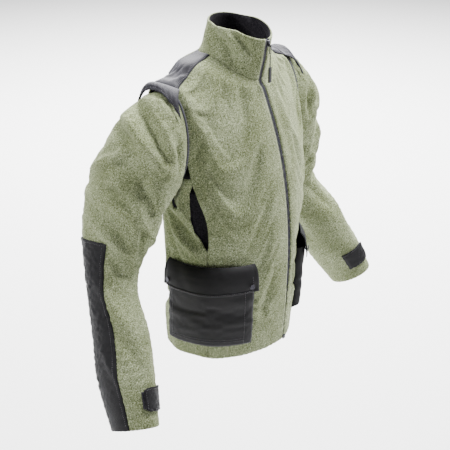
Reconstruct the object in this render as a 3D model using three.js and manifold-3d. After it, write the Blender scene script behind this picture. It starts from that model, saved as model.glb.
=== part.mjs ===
// Beekeeping jacket, zipped to the collar, as an assembly of its sewn pieces and its hardware.
// Millimetres, +Z up, front towards -Y, wearer's left towards +X. Origin: underside of the hanger loop.
import * as THREE from 'three';
import { mergeVertices } from 'three/addons/utils/BufferGeometryUtils.js';
import Module from 'manifold-3d';

const wasm = await Module();
wasm.setup();

// ---- driving dimensions -------------------------------------------------------------------
const BODY_LENGTH = 706;          // hem to the side of the neck
const COLLAR_HEIGHT = 72;         // at the back
const COLLAR_FRONT_HEIGHT = 93;   // at the zip
const HEM_HALF_WIDTH = 197;
const WAIST_HALF_WIDTH = 203;
const CHEST_HALF_WIDTH = 224;
const SHOULDER_HALF_WIDTH = 232;
const NECK_HALF_WIDTH = 90;
const COLLAR_HALF_WIDTH = 69;
const FRONT_DEPTH = 170;          // side line forward to the zip, at the waist
const BACK_DEPTH = 124;           // side line back to the centre back, at the waist
const CLOTH = 3;                  // bonded fleece
const WEBBING = 2;                // pocket, yoke and tab fabric
const SEAM_GAP = 0.4;
const PATCH_GAP = 1.2;            // under patches that follow the sleeve's own facets
const FACET_GAP = 3;              // between curved pieces that lie on each other
const FRONT_SEAM = 73;            // side-front seam, degrees round from the zip
const BACK_SEAM = 113;            // side-back seam
const YOKE_V = 6;                 // ring where the shoulder yoke starts
const ARMHOLE_FOOT_V = 4;         // ring where the side panel ends under the arm
const YOKE_FRONT_AT_NECK = 86;
const YOKE_BACK_AT_NECK = 138;
const ARMHOLE_INSET = 16;         // armhole plane inside the widest part of the shoulder
const ARMHOLE_TAPE = 2.6;
const ARMHOLE_CENTRE_Y = 15;
const ARMHOLE_HALF_DEPTH = 58;
const ARMHOLE_HALF_HEIGHT = 110;
const ZIP_OPENING = 5;            // zip centre to the cloth edge
const ZIP_COIL = 2.8;
const ZIP_TAPE = 15;
const SLIDER_TRAVEL_TOP_V = 9.72;
const POCKET_FRONT = 34;          // cargo pocket, degrees round from the zip
const POCKET_BACK = 106;
const POCKET_BOTTOM_Z = 44;
const POCKET_MOUTH_Z = 214;
const POCKET_DEPTH = 21;
const POCKET_FLAP_TOP_Z = 252;
const POCKET_FLAP_BOTTOM_Z = 190;
const FLAP_FACE = POCKET_DEPTH + 2.8;   // the flap's back face, off the body
const SNAP_RADIUS = 6;
const HAND_POCKET_TOP_Z = 432;
const HAND_POCKET_BOTTOM_Z = 296;
const HAND_POCKET_GAPE = 26;
const CUFF_TAB_LENGTH = 62;
const CUFF_TAB_WIDTH = 44;
const CUFF_TAB_START = -50;       // degrees round the cuff from its front
const CUFF_TAB_FOOT = 0.38;       // stations above the cuff edge
const PATCH_START = 68;           // degrees round the forearm from its front
const PATCH_END = 168;
const PATCH_BELOW_ELBOW = 0.25;   // stations, so that the stiff patch clears the upper sleeve
const SLEEVE_HEAD = 24;           // sleeve cloth that stays with the armhole, outward from it
const LOOP_SPAN = 44;
const LOOP_RISE = 16;
const LOOP_STRAP = 2;
const LOOP_WIDTH = 9;

// ---- colours and finishes -------------------------------------------------------------------
const finish = (color, roughness, metalness = 0) =>
  new THREE.MeshStandardMaterial({ color, roughness, metalness });
const FLEECE = finish(0x8a9170, 0.95);
const CORDURA = finish(0x34313a, 0.8);
const LINING = finish(0x1b1a1d, 0.95);
const TAPE = finish(0x2b2a2e, 0.85);
const COIL = finish(0x232226, 0.45);
const GUNMETAL = finish(0x4c4a50, 0.35, 0.9);
const MOULDED = finish(0x1d1c1f, 0.5);

// ---- small maths ----------------------------------------------------------------------------
const DEG = Math.PI / 180;
const mix = (p, q, t) => p + (q - p) * t;
const clamp01 = (t) => Math.min(1, Math.max(0, t));
const vec = (x, y, z) => new THREE.Vector3(x, y, z);

// Catmull-Rom through rows of numbers at whole-number parameters.
function rowAt(rows, t) {
  const last = rows.length - 1;
  const s = Math.min(Math.max(t, 0), last);
  const i = Math.min(Math.floor(s), last - 1);
  const f = s - i;
  const [a, b, c, d] = [rows[Math.max(i - 1, 0)], rows[i], rows[i + 1], rows[Math.min(i + 2, last)]];
  return b.map((_, k) => 0.5 * (2 * b[k] + (c[k] - a[k]) * f
    + (2 * a[k] - 5 * b[k] + 4 * c[k] - d[k]) * f * f
    + (3 * b[k] - a[k] - 3 * c[k] + d[k]) * f ** 3));
}

// ---- the body's outer surface -----------------------------------------------------------------
// One row per ring from hem to collar top: heights at front, side and back, half widths on the
// wearer's right and left, y of front, side line and back, and the fullness of each front quarter.
const up = (h) => (h / 706) * BODY_LENGTH;
const front = (y) => y * FRONT_DEPTH / 170;
const back = (y) => y * BACK_DEPTH / 124;
const BODY = [
  [up(6), up(6), up(0), HEM_HALF_WIDTH, HEM_HALF_WIDTH - 18, front(-157), -10, back(130), 2.1, 1.5],
  [up(120), up(120), up(115), HEM_HALF_WIDTH + 4, HEM_HALF_WIDTH - 13, front(-166), -14, back(125), 2.1, 1.5],
  [up(240), up(240), up(235), WAIST_HALF_WIDTH, WAIST_HALF_WIDTH - 12, front(-170), -16, back(123), 2.15, 1.6],
  [up(355), up(355), up(350), WAIST_HALF_WIDTH + 6, WAIST_HALF_WIDTH + 4, front(-163), -10, back(127), 2.2, 1.9],
  [up(455), up(460), up(458), CHEST_HALF_WIDTH, CHEST_HALF_WIDTH, front(-147), 4, back(131), 2.2, 2.1],
  [up(535), up(570), up(548), SHOULDER_HALF_WIDTH, SHOULDER_HALF_WIDTH, front(-125), 24, back(132), 2.2, 2.2],
  [up(592), up(652), up(625), SHOULDER_HALF_WIDTH - 10, SHOULDER_HALF_WIDTH - 10, front(-104), 32,
    back(124), 2.1, 2.1],
  [up(624), up(690), up(678), NECK_HALF_WIDTH + 56, NECK_HALF_WIDTH + 56, front(-91), 20, back(98), 2, 2],
  [up(642), up(706), up(706), NECK_HALF_WIDTH, NECK_HALF_WIDTH, front(-81), 2, back(64), 2, 2],
  [up(642) + 0.52 * COLLAR_FRONT_HEIGHT, up(706) + 34, up(706) + 0.54 * COLLAR_HEIGHT,
    COLLAR_HALF_WIDTH + 4, COLLAR_HALF_WIDTH + 4, front(-91), -6, back(55), 2, 2],
  [up(642) + COLLAR_FRONT_HEIGHT, up(706) + 59, up(706) + COLLAR_HEIGHT,
    COLLAR_HALF_WIDTH, COLLAR_HALF_WIDTH, front(-98), -12, back(47), 2, 2],
];
const NECK_V = 8;
const COLLAR_TOP_V = 10;
const BACK_FULLNESS = 2.1;

// Point at angle a (degrees from the zip towards the wearer's right) on ring v.
function body(a, v) {
  const [zF, zS, zB, wR, wL, yF, yS, yB, nR, nL] = rowAt(BODY, v);
  const s = Math.sin(a * DEG);
  const c = Math.cos(a * DEG);
  const w = s > 0 ? wR : wL;
  const n = c > 0 ? (s > 0 ? nR : nL) : BACK_FULLNESS;
  const across = Math.abs(s) ** (2 / n);
  const along = Math.abs(c) ** (2 / n);
  const lift = Math.abs(c) ** 1.6;
  const y = mix(yS, c > 0 ? yF : yB, along);
  const z = mix(zS, c > 0 ? zF : zB, lift);
  return vec(-w * Math.sign(s) * across, y, z);
}

// Angle at which the front lies x millimetres from the zip, on that side's ring.
function angleFromZip(x, v, side) {
  const row = rowAt(BODY, v);
  const [w, n] = side > 0 ? [row[3], row[8]] : [row[4], row[9]];
  return Math.asin(clamp01(x / w) ** (n / 2)) / DEG * side;
}

// Ring number at which the surface reaches height z, at angle a.
function ringAtHeight(a, z) {
  let [lo, hi] = [0, COLLAR_TOP_V];
  for (let k = 0; k < 40; k += 1) {
    const mid = (lo + hi) / 2;
    if (body(a, mid).z < z) lo = mid;
    else hi = mid;
  }
  return (lo + hi) / 2;
}

// ---- the sleeves' outer surface ----------------------------------------------------------------
// One row per station from armhole to cuff, measured from the armhole's centre: outward and down to
// the inner and outer lines, then the middle's y, the half depth and the forward tilt in degrees.
const ARMHOLE_X = SHOULDER_HALF_WIDTH - ARMHOLE_INSET;
const SLEEVE_X = ARMHOLE_X + ARMHOLE_TAPE + SEAM_GAP + FACET_GAP;
const ARMHOLE_Z = up(542);
const SLEEVE = [
  [0, -ARMHOLE_HALF_HEIGHT, 0, ARMHOLE_HALF_HEIGHT, ARMHOLE_CENTRE_Y, ARMHOLE_HALF_DEPTH, 0],
  [5, -122, 50, 97, 24, 78, 0],
  [12, -134, 106, 32, 38, 92, 0],
  [24, -152, 160, -92, 55, 96, 0],
  [46, -210, 180, -158, 60, 88, 2],
  [77, -266, 193, -222, 61, 68, 8],
  [110, -331, 212, -295, 42, 60, 18],
  [136, -408, 242, -372, -2, 71, 22],
  [164, -488, 270, -450, -37, 73, 22],
  [206, -576, 292, -546, -87, 60, 24],
];
const ELBOW_U = 5;
const CUFF_U = SLEEVE.length - 1;

// Point at angle t (0 front, 90 outside, 180 back) on station u; side -1 is the wearer's right.
function sleeve(t, u, side) {
  const [xi, zi, xo, zo, y, depth, tilt] = rowAt(SLEEVE, u);
  const middle = vec((xi + xo) / 2, y, (zi + zo) / 2);
  const outward = vec((xo - xi) / 2, 0, (zo - zi) / 2);
  const forward = vec(0, -Math.cos(tilt * DEG), Math.sin(tilt * DEG)).multiplyScalar(depth);
  const p = middle.addScaledVector(outward, Math.sin(t * DEG)).addScaledVector(forward, Math.cos(t * DEG));
  return vec(side * (SLEEVE_X + p.x), p.y, ARMHOLE_Z + p.z);
}

// ---- solids ------------------------------------------------------------------------------------
function closedGeometry(points, triangles) {
  const geometry = new THREE.BufferGeometry();
  geometry.setAttribute('position', new THREE.Float32BufferAttribute(points.flatMap((p) => p.toArray()), 3));
  let volume = 0;
  for (const [i, j, k] of triangles) volume += points[i].dot(points[j].clone().cross(points[k]));
  geometry.setIndex((volume < 0 ? triangles.map(([i, j, k]) => [i, k, j]) : triangles).flat());
  return geometry;
}

// A curved sheet with thickness: surface(a, v) for a from a0(v) to a1(v) and v from v0 to v1,
// filled between two distances along its outward normal. A ring closes on itself in a.
function sheet({ surface, a0, a1, v0, v1, na, nv, inner, outer, ring = false, flip = 1 }) {
  const edge = (limit, v) => (typeof limit === 'function' ? limit(v) : limit);
  const depth = (limit, a, v) => (typeof limit === 'function' ? limit(a, v) : limit);
  const columns = ring ? na : na + 1;
  const points = [];
  for (const limit of [outer, inner]) {
    for (let j = 0; j <= nv; j += 1) {
      const v = mix(v0, v1, j / nv);
      for (let i = 0; i < columns; i += 1) {
        const a = mix(edge(a0, v), edge(a1, v), i / na);
        const e = 0.02;
        const alongV = surface(a, v + e).sub(surface(a, v - e));
        const alongA = surface(a + 8 * e, v).sub(surface(a - 8 * e, v));
        const normal = alongV.cross(alongA).normalize().multiplyScalar(flip);
        points.push(surface(a, v).addScaledVector(normal, depth(limit, a, v)));
      }
    }
  }
  const face = (nv + 1) * columns;
  const at = (i, j, layer) => layer * face + j * columns + (i % columns);
  const triangles = [];
  const quad = (p, q, r, s) => triangles.push([p, q, r], [p, r, s]);
  for (let j = 0; j < nv; j += 1) {
    for (let i = 0; i < na; i += 1) {
      quad(at(i, j, 0), at(i, j + 1, 0), at(i + 1, j + 1, 0), at(i + 1, j, 0));
      quad(at(i, j, 1), at(i + 1, j, 1), at(i + 1, j + 1, 1), at(i, j + 1, 1));
    }
    if (!ring) {
      quad(at(0, j, 0), at(0, j, 1), at(0, j + 1, 1), at(0, j + 1, 0));
      quad(at(na, j, 0), at(na, j + 1, 0), at(na, j + 1, 1), at(na, j, 1));
    }
  }
  for (let i = 0; i < na; i += 1) {
    quad(at(i, 0, 0), at(i + 1, 0, 0), at(i + 1, 0, 1), at(i, 0, 1));
    quad(at(i, nv, 0), at(i, nv, 1), at(i + 1, nv, 1), at(i + 1, nv, 0));
  }
  return closedGeometry(points, triangles);
}

function toSolid(geometry) {
  const bare = new THREE.BufferGeometry();
  bare.setAttribute('position', geometry.getAttribute('position').clone());
  if (geometry.index) bare.setIndex(geometry.index.clone());
  const merged = mergeVertices(bare, 1e-4);
  return new wasm.Manifold(new wasm.Mesh({
    numProp: 3,
    vertProperties: new Float32Array(merged.getAttribute('position').array),
    triVerts: new Uint32Array(merged.index.array),
  }));
}

function fromSolid(solid) {
  const mesh = solid.getMesh();
  const geometry = new THREE.BufferGeometry();
  geometry.setAttribute('position', new THREE.BufferAttribute(mesh.vertProperties, 3));
  geometry.setIndex(new THREE.BufferAttribute(mesh.triVerts, 1));
  return geometry;
}

const cut = (geometry, ...tools) =>
  fromSolid(tools.reduce((solid, tool) => solid.subtract(toSolid(tool)), toSolid(geometry)));
const join = (geometry, ...others) =>
  fromSolid(others.reduce((solid, other) => solid.add(toSolid(other)), toSolid(geometry)));

// A box placed by its middle, turned so its z axis runs along `along` and its y axis lies near `out`.
function block(width, depth, height, middle, along = vec(0, 0, 1), out = vec(0, 1, 0)) {
  const z = along.clone().normalize();
  const x = out.clone().cross(z).normalize();
  const y = z.clone().cross(x);
  const turn = new THREE.Matrix4().makeBasis(x, y, z).setPosition(middle);
  return new THREE.BoxGeometry(width, depth, height).applyMatrix4(turn);
}

function outwardNormal(surface, a, v, flip = 1) {
  const e = 0.02;
  const alongV = surface(a, v + e).sub(surface(a, v - e));
  const alongA = surface(a + 8 * e, v).sub(surface(a - 8 * e, v));
  return alongV.cross(alongA).normalize().multiplyScalar(flip);
}

// ---- the jacket ----------------------------------------------------------------------------------
const jacket = new THREE.Group();
function add(name, geometry, material) {
  geometry.computeVertexNormals();
  const mesh = new THREE.Mesh(geometry, material);
  mesh.name = name;
  jacket.add(mesh);
}
const SIDES = [['right', 1, -1], ['left', -1, 1]];   // name, sign of the body angle, sign of x

// Everything beyond the armhole plane, to cut the body panels off there.
const beyondArmhole = (x) =>
  block(400, 600, 900, vec(x * (ARMHOLE_X + 200), 0, ARMHOLE_Z));

const gapAngle = 0.12;
const yokeEdge = (seam, atNeck) => (v) =>
  (v < YOKE_V ? seam : mix(seam, atNeck, (v - YOKE_V) / (NECK_V - YOKE_V)));
const yokeFront = yokeEdge(FRONT_SEAM, YOKE_FRONT_AT_NECK);
const yokeBack = yokeEdge(BACK_SEAM, YOKE_BACK_AT_NECK);
const ringGap = 0.006;

function handPocketCut(turn) {
  const middleZ = (HAND_POCKET_TOP_Z + HAND_POCKET_BOTTOM_Z) / 2;
  const half = (HAND_POCKET_TOP_Z - HAND_POCKET_BOTTOM_Z) / 2;
  const lens = new THREE.Shape();
  lens.moveTo(0, half);
  lens.quadraticCurveTo(HAND_POCKET_GAPE, 0, 0, -half);
  lens.quadraticCurveTo(-HAND_POCKET_GAPE * 0.5, 0, 0, half);
  const prism = new THREE.ExtrudeGeometry(lens, { depth: 40, bevelEnabled: false, curveSegments: 6 });
  const a = turn * FRONT_SEAM;
  const v = ringAtHeight(a, middleZ);
  const normal = outwardNormal(body, a, v);
  const z = normal.clone();
  const y = vec(0, 0, 1).addScaledVector(z, -z.z).normalize();
  const x = y.clone().cross(z);
  const place = new THREE.Matrix4().makeBasis(x, y, z).setPosition(body(a, v).addScaledVector(z, -20));
  if (turn < 0) prism.scale(-1, 1, 1);
  const geometry = prism.applyMatrix4(place);
  if (turn < 0) geometry.setIndex(flipped(geometry));
  return geometry;
}

// A mirrored geometry's triangles, turned to face out again.
function flipped(geometry) {
  const count = geometry.getAttribute('position').count;
  const order = [];
  for (let i = 0; i < count; i += 3) order.push(i, i + 2, i + 1);
  return order;
}

for (const [name, turn, x] of SIDES) {
  const cloth = { surface: body, inner: -CLOTH, outer: 0 };
  const opening = handPocketCut(turn);
  add(`front_panel_${name}`, cut(sheet({
    ...cloth,
    a0: (v) => angleFromZip(ZIP_OPENING, v, turn),
    a1: (v) => turn * (yokeFront(v) - gapAngle),
    v0: 0, v1: NECK_V - ringGap, na: 9, nv: 16,
  }), beyondArmhole(x), opening), FLEECE);
  add(`side_panel_${name}`, cut(sheet({
    ...cloth, a0: turn * (FRONT_SEAM + gapAngle), a1: turn * (BACK_SEAM - gapAngle),
    v0: 0, v1: ARMHOLE_FOOT_V - ringGap, na: 6, nv: 8,
  }), beyondArmhole(x), opening), FLEECE);
  add(`shoulder_yoke_${name}`, cut(sheet({
    ...cloth,
    a0: (v) => turn * (yokeFront(v) + gapAngle),
    a1: (v) => turn * (yokeBack(v) - gapAngle),
    v0: YOKE_V, v1: NECK_V - ringGap, na: 7, nv: 4,
  }), beyondArmhole(x)), CORDURA);
}
add('back_panel', cut(sheet({
  surface: body, inner: -CLOTH, outer: 0,
  a0: (v) => yokeBack(v) + gapAngle, a1: (v) => 360 - yokeBack(v) - gapAngle,
  v0: 0, v1: NECK_V - ringGap, na: 12, nv: 16,
}), beyondArmhole(-1), beyondArmhole(1)), FLEECE);

// Collar: outer cloth and a lining inside it, both open at the zip.
function collarSheet(inner, outer, top) {
  return sheet({
    surface: body, inner, outer,
    a0: (v) => angleFromZip(ZIP_OPENING, v, 1), a1: (v) => 360 + angleFromZip(ZIP_OPENING, v, -1),
    v0: NECK_V + ringGap, v1: top, na: 24, nv: 4,
  });
}
add('collar_shell', collarSheet(-CLOTH, 0, COLLAR_TOP_V), FLEECE);
add('collar_lining', collarSheet(-2 * CLOTH - SEAM_GAP, -CLOTH - SEAM_GAP, COLLAR_TOP_V - 0.06), LINING);

// Zip: one tape and one coil on each side, meeting at the centre with a hair's gap.
const TAPE_THICKNESS = 1.4;
const TAPE_CLEARANCE = 2.2;
const tapeDepth = (v) => (v > NECK_V - 0.3 ? -2 * CLOTH - SEAM_GAP : -CLOTH) - TAPE_CLEARANCE;
const COIL_OUT = -0.6;
const COIL_IN = -CLOTH - 0.2;
for (const [name, turn] of SIDES) {
  const along = { surface: body, v0: 0.02, v1: COLLAR_TOP_V - 0.02, na: 1, nv: 20 };
  add(`zip_tape_${name}`, sheet({
    ...along,
    a0: (v) => angleFromZip(0.2, v, turn), a1: (v) => angleFromZip(ZIP_TAPE, v, turn),
    inner: (a, v) => tapeDepth(v) - TAPE_THICKNESS,
    outer: (a, v) => tapeDepth(v),
  }), TAPE);
  add(`zip_coil_${name}`, sheet({
    ...along,
    a0: (v) => angleFromZip(0.2, v, turn), a1: (v) => angleFromZip(ZIP_COIL, v, turn),
    inner: COIL_IN, outer: COIL_OUT,
  }), COIL);
}

// Zip slider at the collar top, with a lug for its pull.
const CENTRE_TOP = body(0, SLIDER_TRAVEL_TOP_V);
const ZIP_LINE = body(0, NECK_V).sub(CENTRE_TOP).normalize();
const ZIP_OUT = vec(0, ZIP_LINE.z, -ZIP_LINE.y);
const SLIDER_LENGTH = 15;
const SLIDER_FACE = 1.4;
const sliderAt = (down, out) =>
  CENTRE_TOP.clone().addScaledVector(ZIP_LINE, down).addScaledVector(ZIP_OUT, out);
const LUG_OUT = SLIDER_FACE + 7;
const PULL_TOP = sliderAt(3, LUG_OUT);
const lugHole = new THREE.CylinderGeometry(1.4, 1.4, 6, 10).rotateZ(Math.PI / 2)
  .translate(PULL_TOP.x, PULL_TOP.y, PULL_TOP.z);
add('zip_slider', cut(join(
  block(10, 2, SLIDER_LENGTH, sliderAt(0, SLIDER_FACE + 1), ZIP_LINE, ZIP_OUT),
  block(6, 2, SLIDER_LENGTH - 6, sliderAt(0, SLIDER_FACE + 2.6), ZIP_LINE, ZIP_OUT),
  block(1.6, 7, 5, sliderAt(3, LUG_OUT - 1), ZIP_LINE, ZIP_OUT),
), lugHole), GUNMETAL);

// Pull: a metal link through the lug, then a cord with a moulded grip, hanging straight down.
const LINK_LENGTH = 18;
const LINK_BAR = 1.4;
const CORD_LENGTH = 30;
const GRIP_LENGTH = 34;
function linkOutline(halfWidth, top, bottom) {
  const outline = new THREE.Shape();
  outline.moveTo(-halfWidth, top);
  outline.lineTo(-halfWidth, bottom);
  outline.lineTo(halfWidth, bottom);
  outline.lineTo(halfWidth, top);
  return outline;
}
function pullLink() {
  const outline = linkOutline(3.4, LINK_BAR / 2, -LINK_LENGTH);
  outline.holes.push(linkOutline(1.9, -LINK_BAR / 2, -LINK_LENGTH + 2));
  return new THREE.ExtrudeGeometry(outline, { depth: LINK_BAR, bevelEnabled: false })
    .translate(0, 0, -LINK_BAR / 2).rotateX(Math.PI / 2).translate(PULL_TOP.x, PULL_TOP.y, PULL_TOP.z);
}
add('zip_pull_link', pullLink(), GUNMETAL);
const GRIP_TOP = PULL_TOP.z - LINK_LENGTH - CORD_LENGTH;
function pullGrip() {
  const y = PULL_TOP.y;
  const cord = new THREE.CylinderGeometry(1.3, 1.3, CORD_LENGTH - 1, 8).rotateX(Math.PI / 2)
    .translate(0, y, GRIP_TOP + CORD_LENGTH / 2 - 0.8);
  const grip = new THREE.BoxGeometry(8, 4, GRIP_LENGTH).translate(0, y, GRIP_TOP - GRIP_LENGTH / 2);
  return join(cord, grip);
}
add('zip_pull_grip', pullGrip(), MOULDED);

// Retainer box at the foot of the zip.
function zipBox() {
  const v = 0.07;
  return block(9, 3, 9, body(0, v).add(vec(0, -2.4, 0)));
}
add('zip_retainer_box', zipBox(), GUNMETAL);

// Cargo pockets: an open-topped bag standing off the front, and a flap over its mouth.
function cargoPocket(name, turn) {
  const a0 = turn * POCKET_FRONT;
  const a1 = turn * POCKET_BACK;
  const span = (z0, z1) => ({ v0: z0 / up(1), v1: z1 / up(1) });
  const onHeights = (a, z) => body(a, ringAtHeight(a, z * up(1)));
  const bag = sheet({ surface: onHeights, a0, a1, ...span(POCKET_BOTTOM_Z, POCKET_MOUTH_Z),
    na: 10, nv: 3, inner: FACET_GAP, outer: POCKET_DEPTH });
  const inset = turn * 1.1;
  const hollow = sheet({ surface: onHeights, a0: a0 + inset, a1: a1 - inset,
    ...span(POCKET_BOTTOM_Z + WEBBING * 1.5, POCKET_MOUTH_Z + 10), na: 10, nv: 3,
    inner: FACET_GAP + WEBBING, outer: POCKET_DEPTH - WEBBING });
  add(`cargo_pocket_${name}`, cut(bag, hollow), CORDURA);

  // The flap runs out over the mouth and then down: the surface follows s from 0 to 3.
  const profile = [[POCKET_FLAP_TOP_Z, FACET_GAP], [POCKET_FLAP_TOP_Z - 3, POCKET_DEPTH * 0.5],
    [POCKET_FLAP_TOP_Z - 14, FLAP_FACE], [POCKET_FLAP_BOTTOM_Z, FLAP_FACE]];
  const onFlap = (a, s) => {
    const i = Math.min(Math.max(Math.floor(s), 0), 2);
    const [z, off] = [0, 1].map((k) => mix(profile[i][k], profile[i + 1][k], s - i));
    const v = ringAtHeight(a, z * up(1));
    const level = outwardNormal(body, a, v).setZ(0).normalize();
    return body(a, v).addScaledVector(level, off);
  };
  const margin = turn * 0.6;
  add(`pocket_flap_${name}`, sheet({ surface: onFlap, a0: a0 - margin, a1: a1 + margin, v0: 0, v1: 3,
    na: 10, nv: 3, inner: 0, outer: WEBBING, flip: -1 }), CORDURA);

  // Snaps: a cap through the flap's front and a stud on the bag behind it, near each end.
  for (const [place, share] of [['front', 0.06], ['rear', 0.93]]) {
    const a = mix(a0, a1, share);
    const z = mix(POCKET_FLAP_BOTTOM_Z, POCKET_MOUTH_Z, 0.62);
    const v = ringAtHeight(a, z * up(1));
    const level = outwardNormal(body, a, v).setZ(0).normalize();
    const disc = (radius, height, off) => new THREE.CylinderGeometry(radius, radius, height, 14)
      .applyQuaternion(new THREE.Quaternion().setFromUnitVectors(vec(0, 1, 0), level))
      .translate(...body(a, v).addScaledVector(level, off + height / 2).toArray());
    add(`snap_cap_${name}_${place}`, disc(SNAP_RADIUS, 2, FLAP_FACE + WEBBING + 0.5), GUNMETAL);
    add(`snap_stud_${name}_${place}`, disc(SNAP_RADIUS * 0.6, 0.8, POCKET_DEPTH + 0.25), GUNMETAL);
  }
}
for (const [name, turn] of SIDES) cargoPocket(name, turn);

// Hand pockets: a flat lining bag behind each slanted opening, open along the seam.
function handPocketBag(name, turn) {
  const reach = 34;
  const onHeights = (a, z) => body(a, ringAtHeight(a, z * up(1)));
  const [z0, z1] = [HAND_POCKET_BOTTOM_Z - 36, HAND_POCKET_TOP_Z - 8].map((z) => z / up(1));
  const bag = sheet({ surface: onHeights, a0: turn * (FRONT_SEAM - reach), a1: turn * (FRONT_SEAM + 7),
    v0: z0, v1: z1, na: 6, nv: 4, inner: -19, outer: -CLOTH - FACET_GAP });
  const hollow = sheet({ surface: onHeights, a0: turn * (FRONT_SEAM - reach + 2),
    a1: turn * (FRONT_SEAM + 5), v0: z0 + 4, v1: z1 - 4, na: 6, nv: 4, inner: -17.4, outer: -CLOTH - FACET_GAP - 1.6 });
  const mouth = handPocketCut(turn);
  add(`hand_pocket_bag_${name}`, cut(bag, hollow, mouth), LINING);
}
for (const [name, turn] of SIDES) handPocketBag(name, turn);

// Sleeves: an upper tube, and a lower tube whose rounded top turns inside it at the elbow.
const ELBOW_BEND = 40;
const ELBOW_BALL = 60;
const ELBOW_BALL_WALL = 2.5;
const ELBOW_BALL_REACH = 30;

// The elbow's own axes: the hinge line, forward, and up along the arm.
function elbowFrame(x) {
  const middle = sleeve(0, ELBOW_U, x).add(sleeve(180, ELBOW_U, x)).multiplyScalar(0.5);
  const outward = sleeve(90, ELBOW_U, x).sub(sleeve(270, ELBOW_U, x)).normalize();
  const above = sleeve(0, ELBOW_U - 1, x).add(sleeve(180, ELBOW_U - 1, x)).multiplyScalar(0.5);
  const alongArm = above.sub(middle);
  const upward = alongArm.addScaledVector(outward, -alongArm.dot(outward)).normalize();
  const forward = outward.clone().cross(upward);
  if (forward.y > 0) forward.negate();
  return { middle, outward, upward, forward };
}

// Half space past a plane through the hinge line, tilted so the bent tubes just clear each other.
function elbowWedge({ middle, outward, upward, forward }, above) {
  const half = (ELBOW_BEND / 2 + 1.5) * DEG;
  const sign = above ? 1 : -1;
  const normal = upward.clone().multiplyScalar(sign * Math.cos(half))
    .addScaledVector(forward, Math.sin(half));
  return block(400, 400, 200, middle.clone().addScaledVector(normal, 100), normal, outward);
}

function elbowBall({ middle, outward, upward, forward }) {
  const ball = (radius) => new THREE.SphereGeometry(radius, 14, 8).scale(0.93, 1, 1);
  const flange = new THREE.Shape().absellipse(0, 0, 53.5, 58.5, 0, 2 * Math.PI);
  flange.holes.push(new THREE.Path().absellipse(0, 0, 45, 50, 0, 2 * Math.PI));
  const ring = new THREE.ExtrudeGeometry(flange, { depth: 3, bevelEnabled: false, curveSegments: 6 })
    .translate(0, 0, -ELBOW_BALL_REACH);
  const slab = (z) => new THREE.BoxGeometry(300, 300, 200).translate(0, 0, z);
  const band = cut(ball(ELBOW_BALL), ball(ELBOW_BALL - ELBOW_BALL_WALL),
    slab(-100 - ELBOW_BALL_REACH + 2), slab(100 + ELBOW_BALL_REACH + 4));
  const right = forward.clone().cross(upward);
  const place = new THREE.Matrix4().makeBasis(right, forward, upward).setPosition(middle);
  return join(band, ring).applyMatrix4(place);
}

// Past this plane, square to the shoulder hinge, the cloth swings with the arm.
const beyondHead = (x) =>
  block(400, 600, 1200, vec(x * (SLEEVE_X + SLEEVE_HEAD + 200), 0, ARMHOLE_Z));
const withinHead = (x) =>
  block(400, 600, 1200, vec(x * (SLEEVE_X + SLEEVE_HEAD + SEAM_GAP - 200), 0, ARMHOLE_Z));

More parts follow.
